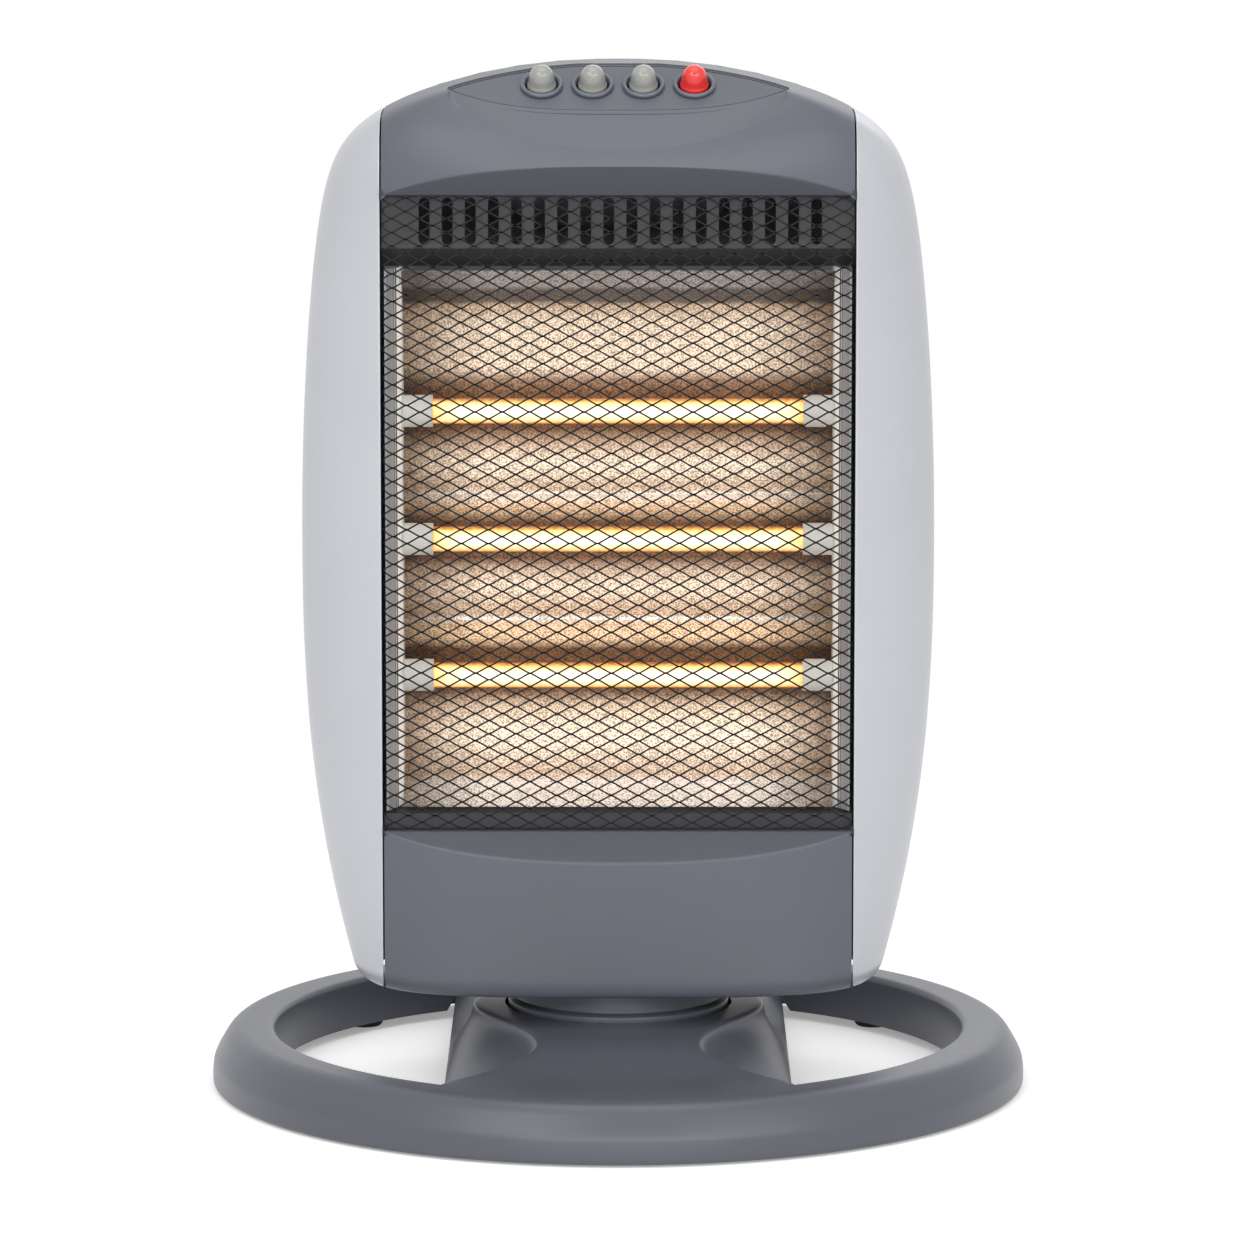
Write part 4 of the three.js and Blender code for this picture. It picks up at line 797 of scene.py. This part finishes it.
reflectorValues = {"half": 101.6, "lip": 38, "trough": 14, "cusp": 20, "top": 393.6, "bottom": 140,
                   "bends": [378, 287, 227, 150], "sheet": 0.8, "sharp": 40}


# Three troughs: depth = cusp - trough sin(pi s)^0.7 between the bends, and a lip at each end.
def makeReflector(values):
    bends = values["bends"]
    share = (1 - np.cos(np.linspace(0, np.pi, 61))) / 2
    depth = values["cusp"] - values["trough"] * np.sin(share * np.pi) ** 0.7
    troughs = [np.stack([depth, upper + (lower - upper) * share], axis=-1)
               for upper, lower in zip(bends[:-1], bends[1:])]
    curve = np.concatenate([troughs[0], *(trough[1:] for trough in troughs[1:])])
    lipShare = np.linspace(0, 1, 10)[:, None]
    top, bottom = (np.array([values["lip"], values[end]]) for end in ("top", "bottom"))
    profile = np.concatenate([(top + (curve[0] - top) * lipShare)[:-1], curve,
                              (curve[-1] + (bottom - curve[-1]) * lipShare)[1:]])
    x = np.linspace(-values["half"], values["half"], 90)
    grid = toSpace(x, np.repeat(profile[:, None], len(x), axis=1))
    piece = makeShell("reflector_sheet", grid, values["sheet"], (0, 60, 266))
    sharpen(piece, values["sharp"])
    return piece


reflectorSheet = makeReflector(reflectorValues)

tubeValues = {"heights": [326.7, 265.8, 200.8], "depth": 26, "radius": 6.0, "bore": 4.9, "half": 90}
capProfile = rounded([[0.02, 90.3], [6.3, 90.3], [6.3, 87.3], [7.6, 87.3], [7.6, 101.6], [3.5, 101.6],
                      [3.5, 104.9], [0.02, 104.9]], 0.5, 4)


# A profile of (radius, place along x) turned about a tube's line.
def lying(name, profile, sides, height, side=1):
    points = turned(profile, sides)
    across, up, along = points[..., 0], points[..., 1], points[..., 2]
    grid = np.stack([side * along, across - tubeValues["depth"], up + height], axis=-1)
    piece = meshPiece(name, grid, gridFaces(len(profile), sides, True))
    faceOut(piece)
    sharpen(piece, 40)
    return piece


def makeTube(name, height, values):
    half, bore = values["half"], values["bore"]
    wall = [[values["radius"], x] for x in np.linspace(-half, half, 41)]
    return lying(name, [[bore, -half], *wall, [bore, half], [bore, -half]], 64, height)


tubes, caps = [], []
for place, height in enumerate(tubeValues["heights"], 1):
    tube = makeTube(f"tube_glass_{place}", height, tubeValues)
    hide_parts(f"halogen_tube_{place}")
    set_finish(tube, "quartz")
    tubes.append(tube)
    for side, word in ((-1, "left"), (1, "right")):
        cap = lying(f"cap_{word}_{place}", capProfile, 48, height, side)
        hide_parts(f"tube_cap_{word}_{place}")
        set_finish(cap, "ceramic")
        caps.append(cap)
print("window made")


for piece, replaced, slot, body in (
        (hoodShell, "hood", "housing", "head"), (lowerShell, "lower_front_panel", "housing", "head"),
        (sideShells[0], "side_panel_left", "silver", "head"),
        (sideShells[1], "side_panel_right", "silver", "head"),
        (lensPanel, "control_panel", "housing", "head"), (baseMoulding, "base_ring", "base", "base"),
        (turntable, "turntable_disc", "base", "head"), (guard, "front_guard", "black", "head"),
        (ventPlate, "vent_panel", "black", "head"), (reflectorSheet, "reflector", "bright", "head")):
    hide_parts(replaced)
    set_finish(piece, slot)
    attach(piece, body)
for piece in tubes + caps:
    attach(piece, "head")


def node(tree, kind, **settings):
    made = tree.nodes.new(kind)
    for name, value in settings.items():
        setattr(made, name, value)
    return made


# A maths node whose inputs are sockets or plain numbers.
def maths(tree, operation, *sources):
    made = node(tree, "ShaderNodeMath", operation=operation)
    for socket, source in zip(made.inputs, sources):
        if isinstance(source, (int, float)):
            socket.default_value = source
        else:
            tree.links.new(source, socket)
    return made.outputs[0]


# Takes a value from one range to another, and holds it at the ends.
def mapped(tree, source, low, high, outLow, outHigh):
    change = node(tree, "ShaderNodeMapRange")
    for name, value in (("From Min", low), ("From Max", high), ("To Min", outLow), ("To Max", outHigh)):
        change.inputs[name].default_value = value
    tree.links.new(source, change.inputs["Value"])
    return change.outputs["Result"]


# Noise lies mostly between 0.3 and 0.7; spreadNoise takes that to another range.
def noise(tree, place, scale, detail=2):
    made = node(tree, "ShaderNodeTexNoise")
    made.inputs["Scale"].default_value = scale
    made.inputs["Detail"].default_value = detail
    tree.links.new(place, made.inputs["Vector"])
    return made.outputs["Fac"]


def spreadNoise(tree, source, low, high):
    return mapped(tree, source, 0.3, 0.7, low, high)


def scaled(tree, colour, factor):
    made = node(tree, "ShaderNodeVectorMath", operation="SCALE")
    tree.links.new(colour, made.inputs[0])
    tree.links.new(factor, made.inputs["Scale"])
    return made.outputs[0]


def bumped(tree, height, distance):
    made = node(tree, "ShaderNodeBump")
    made.inputs["Distance"].default_value = distance
    tree.links.new(height, made.inputs["Height"])
    return made


# A colour from 0 to 255 as the screen shows it, made linear.
def fromScreen(red, green, blue):
    values = np.array([red, green, blue]) / 255
    values = np.where(values < 0.04045, values / 12.92, ((values + 0.055) / 1.055) ** 2.4)
    return (*values.tolist(), 1)


# Colours along a ramp, from rows of a position and a colour.
def ramped(tree, source, rows):
    made = node(tree, "ShaderNodeValToRGB")
    stops = made.color_ramp.elements
    while len(stops) < len(rows):
        stops.new(0.5)
    for stop, (position, *colour) in zip(stops, rows):
        stop.position = position
        stop.color = fromScreen(*colour)
    tree.links.new(source, made.inputs["Fac"])
    return made.outputs["Color"]


def newMaterial(name):
    material = bpy.data.materials.new(name)
    material.use_nodes = True
    return material, material.node_tree, material.node_tree.nodes["Principled BSDF"]


# A piece's own coordinates, and their distance from its middle and height.
def placeOn(tree):
    place = node(tree, "ShaderNodeTexCoord").outputs["Object"]
    split = node(tree, "ShaderNodeSeparateXYZ")
    tree.links.new(place, split.inputs[0])
    return place, maths(tree, "ABSOLUTE", split.outputs["X"]), split.outputs["Z"]


# Moulded surface: fine grain in the bump and roughness, and a slow drift in the colour.
def makeGrainGroup():
    tree = bpy.data.node_groups.new("mouldedGrain", "ShaderNodeTree")
    face = tree.interface
    colour = face.new_socket("Colour", in_out="INPUT", socket_type="NodeSocketColor")
    colour.default_value = (0.5, 0.5, 0.5, 1)
    for name, value in (("Grain", 900.0), ("Depth", 0.2), ("Drift", 0.04), ("Roughness", 0.4),
                        ("Spread", 0.08)):
        face.new_socket(name, in_out="INPUT", socket_type="NodeSocketFloat").default_value = value
    for name, kind in (("Colour", "NodeSocketColor"), ("Roughness", "NodeSocketFloat"),
                       ("Normal", "NodeSocketVector")):
        face.new_socket(name, in_out="OUTPUT", socket_type=kind)
    given = node(tree, "NodeGroupInput").outputs
    result = node(tree, "NodeGroupOutput").inputs
    place = node(tree, "ShaderNodeTexCoord").outputs["Object"]
    fine = noise(tree, place, 1, 3)
    tree.links.new(given["Grain"], fine.node.inputs["Scale"])
    slow = noise(tree, place, 11, 5)
    bump = bumped(tree, fine, 0.00025)
    tree.links.new(given["Depth"], bump.inputs["Strength"])
    drift = maths(tree, "MULTIPLY_ADD", spreadNoise(tree, slow, -1, 1), given["Drift"], 1)
    speck = maths(tree, "MULTIPLY", drift, spreadNoise(tree, fine, 0.975, 1.025))
    rough = maths(tree, "MULTIPLY_ADD", spreadNoise(tree, fine, -1, 1), given["Spread"], given["Roughness"])
    tree.links.new(scaled(tree, given["Colour"], speck), result["Colour"])
    tree.links.new(rough, result["Roughness"])
    tree.links.new(bump.outputs["Normal"], result["Normal"])
    return tree


grainGroup = makeGrainGroup()


def makeFinish(name, colour, roughness, grain=900, depth=0.2, drift=0.04, spread=0.06, metallic=0.0,
               coat=0.0, specular=0.5):
    material, tree, shader = newMaterial(name)
    effect = node(tree, "ShaderNodeGroup")
    effect.node_tree = grainGroup
    effect.inputs["Colour"].default_value = fromScreen(*colour)
    for socket, value in (("Grain", grain), ("Depth", depth), ("Drift", drift), ("Roughness", roughness),
                          ("Spread", spread)):
        effect.inputs[socket].default_value = value
    for output, socket in (("Colour", "Base Color"), ("Roughness", "Roughness"), ("Normal", "Normal")):
        tree.links.new(effect.outputs[output], shader.inputs[socket])
    for socket, value in (("Metallic", metallic), ("Coat Weight", coat), ("Coat Roughness", 0.18),
                          ("Specular IOR Level", specular)):
        shader.inputs[socket].default_value = value
    return material


finishes = {
    "housing": makeFinish("hoodPlastic", (86, 89, 98), 0.46, grain=1500, depth=0.14, drift=0.03, coat=0.05),
    "base": makeFinish("basePlastic", (78, 80, 89), 0.36, grain=1500, depth=0.16, drift=0.03, coat=0.04),
    "silver": makeFinish("silverPlastic", (184, 186, 191), 0.38, grain=2400, depth=0.10, drift=0.025,
                         metallic=0.25, coat=0.15),
    "bezel": makeFinish("bezelPlastic", (84, 91, 104), 0.22, grain=1600, depth=0.05, drift=0.02, coat=0.5),
    "button": makeFinish("buttonPlastic", (146, 146, 141), 0.26, grain=1800, depth=0.05, drift=0.02,
                         coat=0.45),
    "red": makeFinish("redPlastic", (222, 40, 36), 0.24, grain=1800, depth=0.05, drift=0.03, coat=0.45),
    "black": makeFinish("blackPaint", (54, 55, 58), 0.5, grain=2200, depth=0.18, drift=0.05),
    # A pale painted highlight for the slots' bevelled edges.
    "rim": makeFinish("paintedSlotHighlight", (196, 198, 202), 0.4, grain=2600, depth=0.1, drift=0.1),
    "strand": makeFinish("guardPaint", (15, 15, 16), 0.5, grain=2600, depth=0.12, drift=0.08, specular=0.3),
    "bright": makeFinish("brightSheet", (214, 208, 200), 0.20, grain=600, depth=0.22, drift=0.06,
                         metallic=1.0),
    "steel": makeFinish("zincPlate", (168, 171, 176), 0.34, grain=700, depth=0.14, drift=0.07, metallic=1.0),
    "quartz": makeFinish("quartzTube", (245, 235, 210), 0.12, grain=500, depth=0.02, drift=0.02, coat=0.3),
    "ceramic": makeFinish("tubeCeramic", (216, 213, 205), 0.62, grain=1300, depth=0.22, drift=0.05),
    "glow": makeFinish("glowingWire", (255, 190, 110), 0.5, grain=900, depth=0.1, drift=0.05, metallic=0.6),
    "rubber": makeFinish("footRubber", (34, 34, 36), 0.72, grain=1400, depth=0.35, drift=0.05),
    "switch": makeFinish("switchPlastic", (52, 54, 56), 0.5, grain=1500, depth=0.2, drift=0.04)}
wireShader = finishes["glow"].node_tree.nodes["Principled BSDF"]
wireShader.inputs["Emission Color"].default_value = (1, 0.62, 0.25, 1)
wireShader.inputs["Emission Strength"].default_value = 3

# The tubes' warm light and reflections, painted on the sheet: shades by height up the troughs, a painted brown
# shade behind each tube, a painted highlight above it and a painted reflection of the dark vent near the top.
paintedSheetShades = {"lip": (228, 221, 213), "bright": (243, 237, 230), "pale": (234, 209, 179), "warm": (225, 206, 185),
          "tan": (203, 179, 155), "dull": (194, 172, 150), "dusk": (139, 113, 91), "brown": (112, 80, 57),
          "dark": (100, 94, 90), "grey": (154, 152, 151)}
sheetValues = {"patch": 120, "edgeStart": 0.062, "edgeEnd": 0.1, "edge": (150, 140, 130), "speckle": 1250,
               "glow": 0.52, "metallic": 0.55, "bump": 0.0004, "bumpStrength": 0.35, "steps": [
                   (140, "lip"), (149, "bright"), (152, "tan"), (168, "warm"), (182, "tan"), (190, "brown"),
                   (211, "brown"), (217, "pale"), (224, "pale"), (226.5, "bright"), (229, "tan"),
                   (240, "warm"), (246, "dull"), (254, "brown"), (272, "brown"), (280, "pale"),
                   (285, "bright"), (289, "tan"), (299, "warm"), (306, "dull"), (313, "dusk"),
                   (317, "brown"), (334, "brown"), (339, "dusk"), (345, "warm"), (366, "warm"),
                   (376, "dull"), (378, "dark"), (384, "dark"), (386, "grey"), (393, "grey")]}


# The painted light and shade follow the height, a little unevenly, and the sheet glows with them as painted
# light. Towards the sheet's ends a painted shade darkens them to a brown.
def makeSheetFinish(values):
    material, tree, shader = newMaterial("litSheet")
    place, across, height = placeOn(tree)
    steps = values["steps"]
    low, high = steps[0][0] * mm, steps[-1][0] * mm
    wave = noise(tree, place, values["patch"], 3)
    shifted = maths(tree, "ADD", height, spreadNoise(tree, wave, -0.0006, 0.0006))
    rows = [((level * mm - low) / (high - low), *paintedSheetShades[shade]) for level, shade in steps]
    colour = ramped(tree, mapped(tree, shifted, low, high, 0, 1), rows)
    ragged = maths(tree, "ADD", across, spreadNoise(tree, wave, -0.004, 0.004))
    # Painted shade: the colour darkens to a brown towards the sheet's ends.
    brown = node(tree, "ShaderNodeMix", data_type="RGBA", blend_type="MULTIPLY")
    brown.inputs["B"].default_value = fromScreen(*values["edge"])
    tree.links.new(mapped(tree, ragged, values["edgeStart"], values["edgeEnd"], 0, 1), brown.inputs["Factor"])
    tree.links.new(colour, brown.inputs["A"])
    speckle = noise(tree, place, values["speckle"])
    tint = scaled(tree, brown.outputs["Result"], mapped(tree, speckle, 0.37, 0.63, 0.38, 1.3))
    tree.links.new(tint, shader.inputs["Base Color"])
    # Painted light: the sheet glows with its painted colour, though it is no lamp.
    tree.links.new(tint, shader.inputs["Emission Color"])
    shader.inputs["Emission Strength"].default_value = values["glow"]
    shader.inputs["Metallic"].default_value = values["metallic"]
    bump = bumped(tree, speckle, values["bump"])
    bump.inputs["Strength"].default_value = values["bumpStrength"]
    tree.links.new(bump.outputs["Normal"], shader.inputs["Normal"])
    tree.links.new(spreadNoise(tree, speckle, 0.3, 0.46), shader.inputs["Roughness"])
    return material


litValues = {"endStart": 0.072, "endStop": 0.09, "ripple": 420, "glow": 0.62, "roughness": 0.2,
             "colours": [(0.0, 130, 70, 26), (0.14, 214, 138, 58), (0.3, 252, 204, 120), (0.6, 255, 232, 180),
                         (1.0, 255, 245, 220)]}


# The tubes glow cream along the middle and orange at rims and ends: heat falls with the distance from the
# nearest tube's middle height and towards the ends.
def makeTubeFinish(values):
    material, tree, shader = newMaterial("litTube")
    place, across, height = placeOn(tree)
    nearest = None
    for middle in tubeValues["heights"]:
        away = maths(tree, "ABSOLUTE", maths(tree, "SUBTRACT", height, middle * mm))
        nearest = away if nearest is None else maths(tree, "MINIMUM", nearest, away)
    heat = maths(tree, "MINIMUM", mapped(tree, nearest, 0, tubeValues["radius"] * mm, 1.3, 0),
                 mapped(tree, across, values["endStart"], values["endStop"], 1.0, 0.16))
    ripple = noise(tree, place, values["ripple"])
    colour = ramped(tree, maths(tree, "ADD", heat, spreadNoise(tree, ripple, -0.06, 0.06)), values["colours"])
    tree.links.new(colour, shader.inputs["Base Color"])
    tree.links.new(colour, shader.inputs["Emission Color"])
    shader.inputs["Emission Strength"].default_value = values["glow"]
    shader.inputs["Roughness"].default_value = values["roughness"]
    return material


plateValues = {"start": 0.1012, "stop": 0.1092, "grain": 900, "glow": 0.22, "metallic": 0.2,
               "colours": [(0.0, 236, 234, 230), (0.34, 240, 239, 236), (0.37, 70, 68, 66), (0.41, 70, 68, 66),
                           (0.44, 214, 212, 208), (0.5, 80, 78, 76), (0.54, 150, 150, 152),
                           (0.9, 138, 139, 142)]}


# End plates: a pale painted reflection next to the sheet, two dark fold lines of painted shade and a grey
# return. The plates also glow a little with this colour, as painted light.
def makePlateFinish(values):
    material, tree, shader = newMaterial("endPlateSheet")
    place, across = placeOn(tree)[:2]
    grain = noise(tree, place, values["grain"])
    colour = ramped(tree, mapped(tree, across, values["start"], values["stop"], 0, 1), values["colours"])
    tint = scaled(tree, colour, spreadNoise(tree, grain, 0.94, 1.04))
    tree.links.new(tint, shader.inputs["Base Color"])
    # Painted light: the plates glow with their own colour, though they are no lamp.
    tree.links.new(tint, shader.inputs["Emission Color"])
    shader.inputs["Emission Strength"].default_value = values["glow"]
    shader.inputs["Metallic"].default_value = values["metallic"]
    tree.links.new(spreadNoise(tree, grain, 0.3, 0.42), shader.inputs["Roughness"])
    return material


finishes["sheet"] = makeSheetFinish(sheetValues)
finishes["lit"] = makeTubeFinish(litValues)
finishes["plate"] = makePlateFinish(plateValues)


def paint(piece, finish):
    piece.data.materials.clear()
    piece.data.materials.append(finishes[finish])


for piece in [hoodShell, lowerShell, lensPanel, baseMoulding, turntable, ventPlate, *sideShells, *bezels,
              *buttons, *caps]:
    paint(piece, piece["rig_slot"])
paint(reflectorSheet, "sheet")
paint(guard, "strand")
# The slots' bevels take the pale painted highlight.
ventPlate.data.materials.append(finishes["rim"])
for tube in tubes:
    paint(tube, "lit")
for name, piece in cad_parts.items():
    for slot in piece.material_slots:
        slot.material = finishes.get(slot.material.name.split(".")[0], finishes["steel"])
        if name.startswith("reflector_end"):
            slot.material = finishes["plate"]
print("finishes made")


stageValues = {"floorRadius": 1.8, "fadeStart": 0.75, "fadeEnd": 1.5, "lift": 0.3, "floor": 0.9,
               "world": 0.62}


# 1 for what the camera sees straight, mirrored or through glass, and 0 for the light that falls on pieces:
# the largest of the three kinds of ray.
def seenRay(tree):
    path = node(tree, "ShaderNodeLightPath")
    seen = path.outputs["Is Camera Ray"]
    for kind in ("Is Glossy Ray", "Is Transmission Ray"):
        seen = maths(tree, "MAXIMUM", seen, path.outputs[kind])
    return seen


# A pale disc that keeps the shadow and fades to clear with the distance from the middle.
def makeFloor(values):
    rings = np.linspace(0.001, values["floorRadius"], 12) / mm
    piece = lathe("floor", np.stack([rings, 0 * rings], axis=-1), 96, (0, 0, -100))
    material, tree, shader = newMaterial("paleFloor")
    tree.nodes.remove(shader)
    out = tree.nodes["Material Output"]
    place = node(tree, "ShaderNodeTexCoord").outputs["Object"]
    far = node(tree, "ShaderNodeVectorMath", operation="LENGTH")
    tree.links.new(place, far.inputs[0])
    diffuse = node(tree, "ShaderNodeBsdfDiffuse")
    diffuse.inputs["Color"].default_value = (*[values["floor"]] * 3, 1)
    lift = node(tree, "ShaderNodeEmission")
    tree.links.new(mapped(tree, seenRay(tree), 0, 1, 0, values["lift"]), lift.inputs["Strength"])
    both = node(tree, "ShaderNodeAddShader")
    tree.links.new(diffuse.outputs[0], both.inputs[0])
    tree.links.new(lift.outputs[0], both.inputs[1])
    clear = node(tree, "ShaderNodeBsdfTransparent")
    mix = node(tree, "ShaderNodeMixShader")
    fade = mapped(tree, far.outputs["Value"], values["fadeStart"], values["fadeEnd"], 0, 1)
    tree.links.new(fade, mix.inputs[0])
    tree.links.new(both.outputs[0], mix.inputs[1])
    tree.links.new(clear.outputs[0], mix.inputs[2])
    tree.links.new(mix.outputs[0], out.inputs["Surface"])
    piece.data.materials.append(material)


# White where it is seen, and a plain level of light otherwise.
def makeWorld(values):
    world = bpy.data.worlds.new("studio")
    scene.world = world
    world.use_nodes = True
    tree = world.node_tree
    background = tree.nodes["Background"]
    background.inputs["Color"].default_value = (1, 1, 1, 1)
    tree.links.new(mapped(tree, seenRay(tree), 0, 1, values["world"], 1), background.inputs["Strength"])


# Area lamps: name, place, width, height, power; each faces the heater's middle.
lamps = [("key", (-1.4, -2.2, 2.2), 1.5, 1.5, 22), ("fill", (1.7, -2.2, 1.6), 1.6, 1.6, 16),
         ("strip", (0.0, -2.7, 1.15), 2.8, 0.3, 20), ("top", (0.0, -0.3, 2.6), 1.6, 1.6, 12),
         ("low", (0.0, -2.4, 0.12), 2.6, 0.25, 5), ("back", (0.6, 2.4, 1.8), 1.8, 1.8, 8)]


def makeLamps(rows):
    for name, place, width, height, power in rows:
        data = bpy.data.lights.new(name, "AREA")
        data.shape = "RECTANGLE"
        data.energy = power
        data.size = width
        data.size_y = height
        lamp = bpy.data.objects.new(name, data)
        scene.collection.objects.link(lamp)
        lamp.location = place
        away = np.array(place) - np.array([0, 0, 0.25])
        level = math.hypot(away[0], away[1])
        lamp.rotation_euler = (math.atan2(level, away[2]), 0, math.atan2(away[0], -away[1]))


makeFloor(stageValues)
makeWorld(stageValues)
makeLamps(lamps)
print("stage made")
